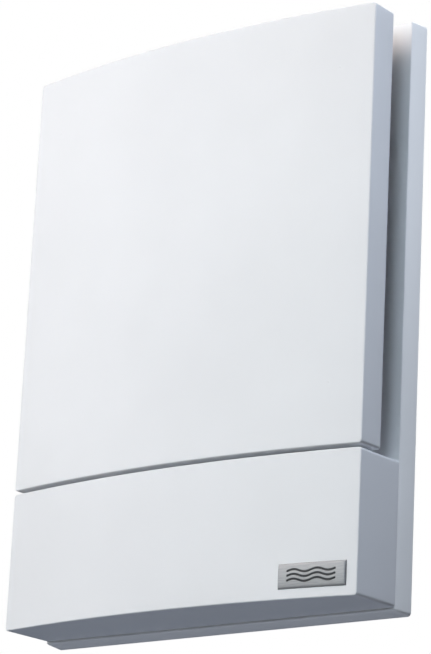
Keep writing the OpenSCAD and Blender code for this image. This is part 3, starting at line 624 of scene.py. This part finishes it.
badgeSize = {"x": 86.5, "z": -175.2, "halfWidth": 18.0, "halfHeight": 6.1, "rise": 1.05, "lines": 3,
             "lineWidth": 0.5, "lineDepth": 0.22, "lineHalf": 12.5, "lineGap": 2.3, "swing": 0.7,
             "waveLength": 12.5, "belly": 0.42, "lift": 0.02, "sink": 0.5}

# Cushion-shaped plate on the curved front: height = rise (1 - belly v^2) (1 - |u|^40)^(1/2) (1 -
# |v|^16)^(1/2), less the engraved waves, which are sine lines one under the other with round ends.
def badge(p):
    ease = lambda t: np.sign(t) * (1 - (1 - np.abs(t)) ** 1.5)
    u, v = np.meshgrid(ease(np.linspace(-1, 1, 361)), ease(np.linspace(-1, 1, 161)), indexing="ij")
    x, z = p["x"] + u * p["halfWidth"], p["z"] + v * p["halfHeight"]
    dome = (np.clip(1 - np.abs(u) ** 40, 0, 1) ** 0.5) * (np.clip(1 - np.abs(v) ** 16, 0, 1) ** 0.5)
    along, half = x - p["x"], p["lineHalf"]
    beyond = np.clip(np.abs(along) - half, 0, None)
    sine = p["swing"] * np.sin(np.clip(along, -half, half) * 2 * np.pi / p["waveLength"])
    ink = np.zeros_like(x)
    for k in range(p["lines"]):
        off = np.hypot(z - (p["z"] + p["lineGap"] * (1 - k) + sine), beyond) / p["lineWidth"]
        ink = np.maximum(ink, np.clip((1.25 - off) / 0.5, 0, 1))
    height = p["rise"] * dome * (1 - p["belly"] * v ** 2) - p["lineDepth"] * ink
    top = np.stack([x, frontDepth(x) - height - p["lift"], z], -1).reshape(-1, 3)
    under = np.stack([x, frontDepth(x) + p["sink"], z], -1).reshape(-1, 3)
    quads, border = gridFaces(*x.shape)
    rim, base = top[border], under[border]
    tint = np.concatenate([ink.reshape(-1), np.zeros(3 * len(border))])
    return [(top, quads.tolist()), loft([rim, base]), (base, [list(range(len(border)))])], tint

badgeParts, badgeTint = badge(badgeSize)
makePiece("badge", "plate", badgeParts, badgeMetal(badgeLook), sharp=40, tint=badgeTint)
print("stage: badge made")

guideSize = {"pin": 4.0, "spigot": 2.5, "groove": 3.1, "tip": 3.2, "root": -45.4, "step": -38,
             "shoulder": -17.4, "end": -16.6, "grooveY": (-20.5, -19.1), "sleeve": 6.0,
             "sleeveFlange": 7.5, "bore": 4.1, "sleeveY": (-22, -19, -0.6), "ringMajor": 3.58,
             "ringMinor": 0.48, "ringY": -19.8}

# Turned pins with a groove, rings of round section in the grooves, and flanged sleeves round the pins.
def guideShapes(g):
    pin, root, end, (g0, g1), (s0, s1, s2) = g["pin"], g["root"], g["end"], g["grooveY"], g["sleeveY"]
    spigot, step, groove = g["spigot"], g["step"], g["groove"]
    profile = [(0.01, root), (spigot, root), (spigot, step), (pin, step), (pin, g0), (groove, g0),
               (groove, g1), (pin, g1), (pin, g["shoulder"]), (g["tip"], end), (0.01, end)]
    t = np.linspace(0, 2 * np.pi, 20, endpoint=False)
    major, minor = g["ringMajor"], g["ringMinor"]
    ring = np.stack([major + minor * np.cos(t), g["ringY"] + minor * np.sin(t)], -1)
    sleeve = softened([(g["bore"], s0), (g["sleeveFlange"], s0), (g["sleeveFlange"], s1), (g["sleeve"], s1),
                       (g["sleeve"], s2), (g["bore"], s2)], 0.5, 4)
    return [(0, root)] + softened(profile, 0.18, 2).tolist() + [(0, end)], ring, sleeve

pinShape, ringShape, sleeveShape = guideShapes(guideSize)
for (x, z), where in zip(guides, corners):
    for name, kind, shape, steps, look, slot, body in (
            ("guide_pin_", "turned", pinShape, 64, guidePlastic, "guide_plastic", "front_panel"),
            ("pin_ring_", "moulded", ringShape, 64, rubber, "black_rubber", "front_panel"),
            ("guide_sleeve_", "turned", sleeveShape, 72, slidePlastic, "sleeve_plastic", "base")):
        makePiece(name + where, kind, [turned(shape, x, z, steps)], look, body)
print("stage: guides made")

foamSize = {"sealOut": 95.0, "sealWide": 5.0, "sealThick": 1.5, "sealY": -12, "padHalf": 60.0,
            "padThick": 5.0, "crate": 15.0, "bandY": (-12, 7), "bandWide": 3}

# Closing seal: a square frame whose section is a low dome, height t sin(a)^0.5 across its width.
def closingSeal(p):
    a, out = np.linspace(0, np.pi, 11), p["sealOut"]
    section = zip(p["sealWide"] / 2 * (1 - np.cos(a)), p["sealY"] - p["sealThick"] * np.sin(a) ** 0.5)
    return [loft([rectRing((-out, -out, out, out, 3.0, 60, 6), inset, y) for inset, y in section], True)]

# Sound pad: follows the curved wall; its free side is a field of egg-crate peaks,
# thickness = T (0.66 + 0.34 cos(2 pi x / c) cos(2 pi z / c)), drawn in at the cut edges.
def soundPad(p):
    u = np.linspace(-1, 1, 145)
    x, z = np.meshgrid(u * (p["padHalf"] - 0.3), u * (p["padHalf"] - 0.3), indexing="ij")
    rim = np.clip(1 - np.abs(u) ** 60, 0, 1) ** 0.5
    wave = 0.66 + 0.34 * np.cos(2 * np.pi * x / p["crate"]) * np.cos(2 * np.pi * z / p["crate"])
    thick = p["padThick"] * (0.35 + (wave - 0.35) * (rim[:, None] * rim[None, :])) - 0.05
    wall = frontDepth(x, casing["wall"])
    return skinBetween(np.stack([x, wall + thick, z], -1), np.stack([x, wall + 0.02, z], -1))

# The rest of the foam is turned, with its edges rounded.
bands = [collar(59.4, y, 59.95, y + foamSize["bandWide"], 0.2, steps=128) for y in foamSize["bandY"]]
for name, parts, look, slot, body, sharp in (
        ("closing_seal", closingSeal(foamSize), greyFoam, "grey_foam", "base", 35),
        ("sound_pad", soundPad(foamSize), greyFoam, "grey_foam", "front_panel", 60),
        ("fan_bands", bands, greyFoam, "grey_foam", "base", 35),
        ("core_gasket", [collar(53, 12, 59.3, 14, 0.7, steps=128)], greyFoam, "grey_foam", "base", 35),
        ("regenerator_sleeve", [collar(53, 14, 59.3, 54, 1.2)], particleFoam, "particle_foam", "base", 35)):
    makePiece(name, "foam", parts, look, body, sharp)
print("stage: foam parts made")

ventSize = {"flange": 76.0, "neck": 61.4, "collarIn": 63.0, "collarOut": 65.0, "collarTip": -24.0,
            "screwHole": 1.7, "spoke": 0.9, "ringIn": 66.5, "filterOut": 69.0, "filterFront": -27.0,
            "ringTip": -16.2, "windows": [(7, 22), (24, 42), (44, 59)], "grip": (-4.4, -2.2, 0, 2.2, 4.4),
            "matRadius": 60.8, "pleat": 5.0, "pleatDeep": 8.0, "fleece": 1.2, "perPleat": 16,
            "matRows": 40}

# Window between two rings and two spokes: its sides stay a half spoke away from the radial lines.
def window(r0, r1, a0, a1, half, inset, steps):
    ra, rb = r0 + inset, r1 - inset
    ia, ib = math.asin(min((half + inset) / ra, 0.9)), math.asin(min((half + inset) / rb, 0.9))
    ta, tb = np.linspace(a0 + ia, a1 - ia, steps), np.linspace(a1 - ib, a0 + ib, steps)
    inner = np.stack([ra * np.cos(ta), ra * np.sin(ta)], -1)
    outer = np.stack([rb * np.cos(tb), rb * np.sin(tb)], -1)
    return np.concatenate([inner, outer])[::-1]

# Eight windows in each band of radii.
def windows(bands, half):
    turn = math.pi / 4
    return [(lambda i, r0=r0, r1=r1, k=k: window(r0, r1, k * turn, (k + 1) * turn, half, i, 8 + int(r1 / 4)))
            for r0, r1 in bands for k in range(8)]

# Three lugs of a bayonet, each 2 half long.
def lugs(r0, r1, half, y0, y1):
    spread = half / r1
    return [plate(lambda i, a=a: window(r0, r1, a - spread, a + spread, 0.0, i, 10), [], y0, y1, 0.2, 2)
            for a in np.radians([-30, -150, -270])]

def ductFlange(p):
    holes = [roundHole(0, 0, p["neck"])] + [roundHole(x, z, p["screwHole"], 24) for x, z in flangeSpots]
    return [plate(disc(p["flange"]), holes, -14.5, -12),
            collar(p["collarIn"], p["collarTip"], p["collarOut"], -14.3, 0.4)] + lugs(64.6, 66.2, 8, -20, -18)

makePiece("duct_flange", "moulded", ductFlange(ventSize), ductPlastic)

# Lip seal in its groove: a flat foot with two soft lips, radius = foot + lip |sin(2 pi s)|^0.7.
sealSize = {"foot": 61.55, "lip": 0.63, "inner": 61.0, "wide": 2.8, "places": ((3, "front"), (8, "rear"))}
for y, where in sealSize["places"]:
    s, y0, y1 = np.linspace(0, 1, 25), y + 0.1, y + 0.1 + sealSize["wide"]
    lips = sealSize["foot"] + sealSize["lip"] * np.abs(np.sin(2 * np.pi * s)) ** 0.7
    shape = np.concatenate([[(sealSize["inner"], y0)], np.stack([lips, y0 + sealSize["wide"] * s], -1),
                            [(sealSize["inner"], y1)]])
    makePiece("sleeve_seal_" + where, "lips", [turned(shape, 0, 0, 160)], rubber, sharp=60)

# Bayonet ring: a spoked front, a skirt with lugs inside and two ribbed grips.
def filterRing(p):
    parts = [plate(disc(p["filterOut"]), windows(p["windows"], p["spoke"]), p["filterFront"], -25, 0.5),
             collar(p["ringIn"], -25.6, p["filterOut"], p["ringTip"], 0.35)]
    parts += lugs(65.3, 67, 7, -17.6, p["ringTip"])
    for side in (-1, 1):
        x0, x1 = sorted((side * 68.4, side * 70.7))
        parts.append(bar(x0, -6, x1, 6, p["filterFront"], -19, 0.5, 0.4))
        x0, x1 = sorted((side * 70, side * 71.7))
        parts += [bar(x0, z - 0.7, x1, z + 0.7, -26.6, -19.4, 0.6, 0.5) for z in p["grip"]]
    return parts

makePiece("filter_ring", "moulded", filterRing(ventSize), filterPlastic, "filter_ring")
makePiece("filter_frame", "moulded", [collar(61, -24.6, 62.8, -14.5, 0.5)], filterPlastic)

# Filter mat: fleece folded into rounded pleats across X inside a circle. Depth follows a softened triangle
# wave, (arccos(0.96 cos 2 pi x / pleat) - low) / (high - low), with a slow sag of 0.05.
def filterMat(p):
    radius, (low, rise) = p["matRadius"], (0.2838, 2.5740)
    x = np.linspace(-radius * 0.9995, radius * 0.9995, int(2 * radius / p["pleat"] * p["perPleat"]))[:, None]
    z = np.linspace(-1, 1, p["matRows"])[None, :] * np.sqrt(radius ** 2 - x ** 2)
    wave = (np.arccos(0.96 * np.cos(2 * np.pi * ((x + 62.5) / p["pleat"]))) - low) / rise
    y = -24.15 + (p["pleatDeep"] - 0.1) * wave + 0.05 * np.sin(z / 9.0 + x / 7.0)
    front = np.stack([x + 0 * z, y, z], -1)
    return skinBetween(front, front + np.array([0, p["fleece"] - 0.1, 0]))

matPiece = makePiece("filter_mat", "fleece", filterMat(ventSize), filterFleece, sharp=60)
print("stage: flange and filter made")

fanSize = {"inner": 56.0, "outer": 59.35, "front": -13, "back": 12, "mouth": 3.0, "struts": 5,
           "strutHalf": 1.8, "blades": 7, "bladeRoot": 23.2, "bladeTip": 55.0, "bow": 1.5, "hub": 24,
           "hubSkin": 22.5}

# A bar that runs outwards from radius r0 to r1 at an angle. Its section is x = w cos^0.6 t, y = d sin^0.6 t
# with the signs kept, where w is half its width and d half its depth.
def spokeBar(r0, r1, angle, w, y0, y1):
    t = np.linspace(0, 2 * np.pi, 16, endpoint=False)
    across = w * np.sign(np.cos(t)) * np.abs(np.cos(t)) ** 0.6
    y = (y0 + y1) / 2 + (y1 - y0) / 2 * np.sign(np.sin(t)) * np.abs(np.sin(t)) ** 0.6
    c, s = math.cos(angle), math.sin(angle)
    return capped([np.stack([r * c - across * s, y, r * s + across * c], -1) for r in (r0, r1)])

# Tube with a bell mouth, a motor plate in the middle and struts between them.
def fanHousing(p):
    inner, mouth, front, back = p["inner"], p["mouth"], p["front"], p["back"]
    quarter, turn = np.linspace(0, np.pi / 2, 9), 360 / p["struts"]
    bell = [(inner + mouth * (1 - math.cos(a)), front + mouth * (1 - math.sin(a))) for a in quarter]
    parts = [turned([(p["outer"], front), (p["outer"], back), (inner, back)] + bell, 0, 0, 160),
             collar(0.01, 9, 22, back, 0.8, steps=96)]
    for i in range(p["struts"]):
        parts.append(spokeBar(21, inner + 1.5, math.radians(-turn * i - 90), p["strutHalf"], 9.4, 11.4))
    return parts

makePiece("fan_housing", "moulded", fanHousing(fanSize), fanPlastic)

# A twisted aerofoil blade: from hub to tip the chord grows wider across and less deep, its middle line bows
# by 4 b s (1 - s), and its half thickness is h s^0.5 (1 - s)^0.6 + 0.12. Its sections lie on cylinders of
# radius r.
def fanBlade(p, angle, sections=14, steps=20):
    s = (1 - np.cos(np.linspace(0, np.pi, steps))) / 2
    k = np.linspace(0, 1, sections)[:, None]
    r = p["bladeRoot"] + (p["bladeTip"] - p["bladeRoot"]) * k
    across, deep = 4.6 + 2.6 * k, 7.4 - 1.7 * k
    half = (0.85 - 0.25 * k) * 2.2 * np.sqrt(s) * (1 - s) ** 0.6 + 0.12
    along = 1 - 2 * s
    length = np.hypot(across, deep)
    bow = p["bow"] * 4 * s * (1 - s)
    t, y = -1.2 + across * along + bow * deep / length, -1.1 - deep * along + bow * across / length
    nt, ny = deep / length, across / length
    upper = np.stack([r + 0 * t, y + half * ny, t + half * nt], -1)
    lower = np.stack([r + 0 * t, y - half * ny, t - half * nt], -1)[:, ::-1]
    out, y, side = np.moveaxis(np.concatenate([upper, lower], 1), -1, 0)
    reach = np.sqrt(np.maximum(out ** 2 - side ** 2, 1))
    ca, sa = math.cos(angle), math.sin(angle)
    return capped(np.stack([reach * ca + side * sa, y, -reach * sa + side * ca], -1))

# Hub: a cup with a rounded rim, a neck for the shaft and a raised mark in the middle, and the blades round
# it.
def impeller(p):
    hub, skin, neck, bend = p["hub"], p["hubSkin"], 4.4, 3.5
    rim = [(hub - bend + bend * math.sin(a), -8.5 - bend * math.cos(a)) for a in np.linspace(0, np.pi / 2, 9)]
    cup = [(0, -12), (14, -12)] + rim + [(hub, 6.2), (hub - 0.3, 6.5), (skin, 6.5), (skin, -9.9)]
    cup += [(neck, -9.9), (neck, -8.6), (0, -8.6)]
    blades = [fanBlade(p, 2 * math.pi * i / p["blades"]) for i in range(p["blades"])]
    return [turned(cup, 0, 0, 128), collar(0.01, -12, 3, -11, 0.3, steps=32)] + blades

makePiece("impeller", "moulded", impeller(fanSize), fanPlastic, "fan_rotor", 40)
print("stage: fan made")

meshSize = {"radius": 58.3, "pitch": 2.4, "wire": 0.16, "middle": 54.72, "weave": 0.12}

# Woven wires: each runs straight at a fixed x or z while its y swings by a cosine of the crossing count.
def wovenMesh(p):
    count, wire = int(p["radius"] / p["pitch"]), p["wire"]
    section = np.array([(wire, 0), (0, wire), (-wire, 0), (0, -wire)])
    parts = []
    for k in range(-count, count + 1):
        place = k * p["pitch"]
        reach = math.sqrt(p["radius"] ** 2 - place ** 2)
        run = np.linspace(-reach, reach, max(3, int(2 * reach / p["pitch"] * 2)))[:, None]
        for sign in (1, -1):
            y = p["middle"] + sign * p["weave"] * np.cos(np.pi * (run / p["pitch"] + k)) + section[:, 1]
            line = [place + section[:, 0] + 0 * y, y, run + 0 * y]
            parts.append(capped(np.stack(line[::sign], -1)))
    return parts

meshParts = wovenMesh(meshSize) + [collar(57.2, 54.42, 58.5, 55.0, 0.15, steps=128)]
makePiece("insect_mesh", "woven", meshParts, meshFibre, sharp=60)

grilleSize = {"radius": 59.3, "front": 55, "back": 58, "spoke": 0.9,
              "windows": [(4, 13.1), (14.9, 27.1), (28.9, 41.1), (42.9, 54.5)]}
g = grilleSize
grille = plate(disc(g["radius"]), windows(g["windows"], g["spoke"]), g["front"], g["back"], 0.5)
makePiece("end_grille", "moulded", [grille], ductPlastic)
print("stage: outer end made")

cableSize = {"radius": 2.0, "steps": 16, "spacing": 0.6}
cableRoute = np.array([(0, -5, -67.5), (0, -5, -80), (0, -5, -92), (0, -5, -103), (0, -5.2, -110),
                       (0, -7.2, -116.2), (0, -12.0, -120.0), (0, -18.5, -120.9), (0, -25.0, -121.2),
                       (0, -29.3, -124.0), (0, -31, -129.5), (0, -31, -134)], float)

# Smooth line through the points (Catmull-Rom), resampled to even spacing.
def smoothLine(points, spacing):
    p = np.concatenate([[2 * points[0] - points[1]], points, [2 * points[-1] - points[-2]]])
    t = np.linspace(0, 1, 24, endpoint=False)[None, :, None]
    a, b, c, d = (p[k:len(p) - 3 + k][:, None, :] for k in range(4))
    square, cube = 2 * a - 5 * b + 4 * c - d, 3 * b - a - 3 * c + d
    line = 0.5 * (2 * b + (c - a) * t + square * t ** 2 + cube * t ** 3)
    line = np.concatenate([line.reshape(-1, 3), points[-1:]])
    run = np.concatenate([[0], np.cumsum(np.linalg.norm(np.diff(line, axis=0), axis=1))])
    even = np.linspace(0, run[-1], int(run[-1] / spacing))
    return np.stack([np.interp(even, run, line[:, k]) for k in range(3)], -1), run[-1]

# Round section swept along a line that lies in the plane x = 0: side vectors are X and tangent cross X.
def sweptCable(line, radius, steps):
    tangent = np.gradient(line, axis=0)
    tangent /= np.linalg.norm(tangent, axis=1, keepdims=True)
    across = np.array([1.0, 0, 0])
    up = np.cross(tangent, across)
    a = np.linspace(0, 2 * np.pi, steps, endpoint=False)[None, :, None]
    return capped(line[:, None] + radius * (np.cos(a) * across + np.sin(a) * up[:, None]))

cableLine, cableLength = smoothLine(cableRoute, cableSize["spacing"])
cableParts = [sweptCable(cableLine, cableSize["radius"] - 0.05, cableSize["steps"])]
cablePiece = makePiece("fan_cable", "round", cableParts, sheath, sharp=60)
print("stage: fan cable", round(cableLength, 1), "mm")

grommetShape = softened([(4, -14), (7.5, -14), (7.5, -12), (6, -12), (6, 0), (4, 0)], 0.7, 5)
makePiece("cable_grommet", "moulded", [turned(grommetShape, *cableEntry, 72)], rubber)

screwShape = {"around": 48, "rows": 22, "brim": 0.30, "dome": 0.70, "recess": 0.62, "armHalf": 0.13,
              "armLong": 0.55, "pitch": 0.8, "thread": 0.09, "point": 1.2}

# Pan-head screw along Y. At the share k of its radius the head is rise (0.3 + 0.7 (1 - 0.98 k^3)^0.5) high,
# less a cross recess 0.62 rise deep with arms |u| < 0.13, |v| < 0.55, whose walls fall off as 1 / (1 +
# e^x). The shank's radius is shank (1 - 0.09 cos(2 pi y / pitch - angle)), and falls to a quarter over the
# last 1.2.
def panScrew(x, z, head, rise, face, shank, tip, cross):
    p = screwShape
    a = np.linspace(0, 2 * np.pi, p["around"], endpoint=False)[None, :]
    k = np.linspace(0.02, 1, p["rows"])[:, None]
    u, v = np.abs(k * np.cos(a + cross)), np.abs(k * np.sin(a + cross))
    fall = lambda q, at, soft: 1 / (1 + np.exp((q - at) / soft))
    arm = lambda q, r: fall(q, p["armHalf"], 0.02) * fall(r, p["armLong"], 0.03)
    recess = np.maximum(arm(u, v), arm(v, u)) * p["recess"]
    top = p["brim"] + p["dome"] * np.sqrt(np.clip(1 - 0.98 * k ** 3, 0, 1)) - recess
    y = np.linspace(face, tip, max(8, int((tip - face) / p["pitch"] * 6)))[:, None]
    thread = 1 - p["thread"] * np.cos(2 * np.pi * (y / p["pitch"]) - a)
    r = shank * np.clip((tip - y) / p["point"], 0.25, 1) * thread
    rows = ((head * k, face - rise * top), (np.array([[head]]), face + 0 * a), (r, y + 0 * a))
    loops = [np.stack([x + q * np.cos(a), depth, z + q * np.sin(a)], -1) for q, depth in rows]
    return capped(np.concatenate(loops))

# Turns one part so that what stood along -Y stands along +Z, then moves it: (x, y, z) -> (x, z, -y) + place.
def stoodUp(part, place):
    p, f = part
    return np.stack([p[:, 0] + place[0], p[:, 2] + place[1], -p[:, 1] + place[2]], -1), f

turns = np.random.default_rng(7).uniform(0, 1.5, 12)
flangeScrews = [panScrew(*at, 2.8, 1.8, -14.5, 1.3, -5, turns[k]) for k, at in enumerate(flangeSpots)]
smallScrews = [panScrew(*at, 2.5, 1.8, -25.6, 1.2, -17.6, turns[4 + k]) for k, at in enumerate(boardSpots)]
smallScrews += [panScrew(*at, 2.5, 1.8, -22, 1.2, -14, turns[8 + k]) for k, at in enumerate(clampSpots)]
seats = [(s * coverInside["screwX"], coverInside["screwY"], -116.25) for s in (-1, 1)]
coverScrews = [stoodUp(panScrew(0, 0, 3, 1.3, 0, 1.3, 9, turns[10 + k]), at) for k, at in enumerate(seats)]
screws = {"flange_screws": flangeScrews, "small_screws": smallScrews, "cover_screws": coverScrews}
for name, parts in screws.items():
    makePiece(name, "pan", parts, zincSteel, sharp=50)
print("stage: screws made")

# Finishes of the parts whose shape stays as it is.
finishes = {"duct_spigot": ductPlastic, "rotor_yoke": zincSteel, "rotor_magnet": ferrite,
            "fan_shaft": turnedSteel, "bearing_front": turnedSteel, "bearing_rear": turnedSteel,
            "bearing_tube": turnedBrass, "stator_core": sheetStack, "stator_windings": copperWire,
            "motor_board": boardLacquer, "ceramic_core": clay, "motor_lead": sheath,
            "fan_plug": plugPlastic, "fan_header": plugPlastic, "cable_clamp": guidePlastic,
            "control_board": boardLacquer, "power_module": blackPlastic, "capacitors": canMetal,
            "terminal_block": terminalPlastic, "terminal_screws": zincSteel, "fuse": fuseClay,
            "processor_chip": blackPlastic, "mode_switch": blackPlastic, "mode_slider": sliderPlastic}
for name, finish in finishes.items():
    for place in nodes[name].material_slots:
        place.material = finish
print("stage: finishes set on", len(finishes), "parts")

# Puts an object at place with its X, Y and Z axes along right, up and back.
def stand(thing, right, up, back, place):
    bpy.context.collection.objects.link(thing)
    thing.matrix_world = Matrix([(right[k], up[k], back[k], place[k]) for k in range(3)] + [(0, 0, 0, 1)])

view = {"place": (0.872935, -1.108942, -0.450276), "sensor": 36, "focal": 2854.024 * 36 / 654,
        "right": (0.78777567, 0.61416686, 0.04699545), "up": (0.14064293, -0.25362940, 0.95702231),
        "back": (0.59969081, -0.74730931, -0.28618129)}
cam = bpy.data.cameras.new("camera")
cam.sensor_width = view["sensor"]
cam.lens = view["focal"]
cam.clip_end = 100
camera = bpy.data.objects.new("camera", cam)
stand(camera, view["right"], view["up"], view["back"], view["place"])
bpy.context.scene.camera = camera

# Lights: place, size, power and colour of each soft box, all aimed at the middle of the casing.
studio = {"floor": -1.25, "floorHalf": 14.0, "floorGlow": 0.7, "skyLight": 0.006,
          "skyColour": (0.45, 0.65, 1.0), "spread": 70.0, "aim": (0, -0.03, -0.03)}
lamps = {
         "frontLight": {"place": (-0.6, -2.0, 0.45), "size": 1.4, "power": 3.34, "colour": (0.943, 1, 0.962)},
         "highLight": {"place": (-0.3, -0.9, 0.9), "size": 0.6, "power": 1.43, "colour": (1, 0.876, 0.831)},
         "leftLight": {"place": (-1.9, -1.3, 0.8), "size": 1.4, "power": 2.88, "colour": (1, 0.986, 1)},
         "fillLight": {"place": (0.7, -1.8, 0.3), "size": 0.8, "power": 1.6, "colour": (0.752, 0.876, 1)},
         "rightLight": {"place": (0.7, 0.2, 0.7), "size": 0.4, "power": 1.3, "colour": (0.82, 0.885, 1)},
         "underLight": {"place": (-0.2, 0.3, -1.1), "size": 0.8, "power": 0.39, "colour": (0.588, 0.73, 1)},
         "backLight": {"place": (-0.8, 2.0, 0.9), "size": 1.4, "power": 6.0, "colour": (1, 1, 1)}}

# Floor: a flat square, so wide that its edges stay out of sight. It looks evenly pale from every side, yet
# throws no light of its own on the casing, because it only glows for the camera.
floorMesh = bpy.data.meshes.new("floor")
half = studio["floorHalf"]
square = ((-1, -1), (1, -1), (1, 1), (-1, 1))
floorMesh.from_pydata([(x * half, y * half, studio["floor"]) for x, y in square], [], [(0, 1, 2, 3)])
floor = bpy.data.objects.new("floor", floorMesh)
bpy.context.collection.objects.link(floor)
floorLook, floorTree, floorShader, floorCoords = newMaterial("floorLook", Roughness=0.7)
floorShader.inputs["Emission Color"].default_value = (1, 1, 1, 1)
floorGlow = node(floorTree, "ShaderNodeMath", {"operation": "MULTIPLY"})
floorTree.links.new(node(floorTree, "ShaderNodeLightPath").outputs["Is Camera Ray"], floorGlow.inputs[0])
floorGlow.inputs[1].default_value = studio["floorGlow"]
floorCloud = noise(floorTree, floorCoords, 0.6, 4)
floorTone = ramp(floorTree, floorCloud, (0.3, (0.80, 0.80, 0.80)), (0.7, (0.84, 0.84, 0.84)))
drive(floorTree, floorShader, Base_Color=floorTone, Emission_Strength=floorGlow.outputs[0])
floorMesh.materials.append(floorLook)

# World: white where the camera sees it, and a faint blue light for everything else.
world = bpy.data.worlds.new("studio")
bpy.context.scene.world = world
world.use_nodes = True
wt = world.node_tree
wt.nodes.clear()
sky = (*studio["skyColour"], 1)
seen = node(wt, "ShaderNodeBackground", {"Color": (1, 1, 1, 1), "Strength": 1.0})
lit = node(wt, "ShaderNodeBackground", {"Color": sky, "Strength": studio["skyLight"]})
pick = node(wt, "ShaderNodeMixShader", Fac=node(wt, "ShaderNodeLightPath").outputs["Is Camera Ray"])
wt.links.new(lit.outputs[0], pick.inputs[1])
wt.links.new(seen.outputs[0], pick.inputs[2])
node(wt, "ShaderNodeOutputWorld", Surface=pick.outputs[0])

# Square area light at place, hidden from the camera, turned so that its beam goes to the aim point.
def areaLight(name, aim, spread, place, size, power, colour):
    data = bpy.data.lights.new(name, "AREA")
    data.shape = "RECTANGLE"
    data.size, data.size_y = size, size
    data.energy = power
    data.color = colour
    data.spread = math.radians(spread)
    light = bpy.data.objects.new(name, data)
    beam = np.array(aim, float) - np.array(place, float)
    beam /= np.linalg.norm(beam)
    across = np.cross(beam, (0, 0, 1))
    across /= np.linalg.norm(across)
    stand(light, across, np.cross(across, beam), -beam, place)
    light.visible_camera = False

for name, lamp in lamps.items():
    areaLight(name, studio["aim"], studio["spread"], **lamp)

bpy.context.scene.view_settings.view_transform = "Standard"
bpy.context.scene.view_settings.look = "None"
print("stage: studio lit")
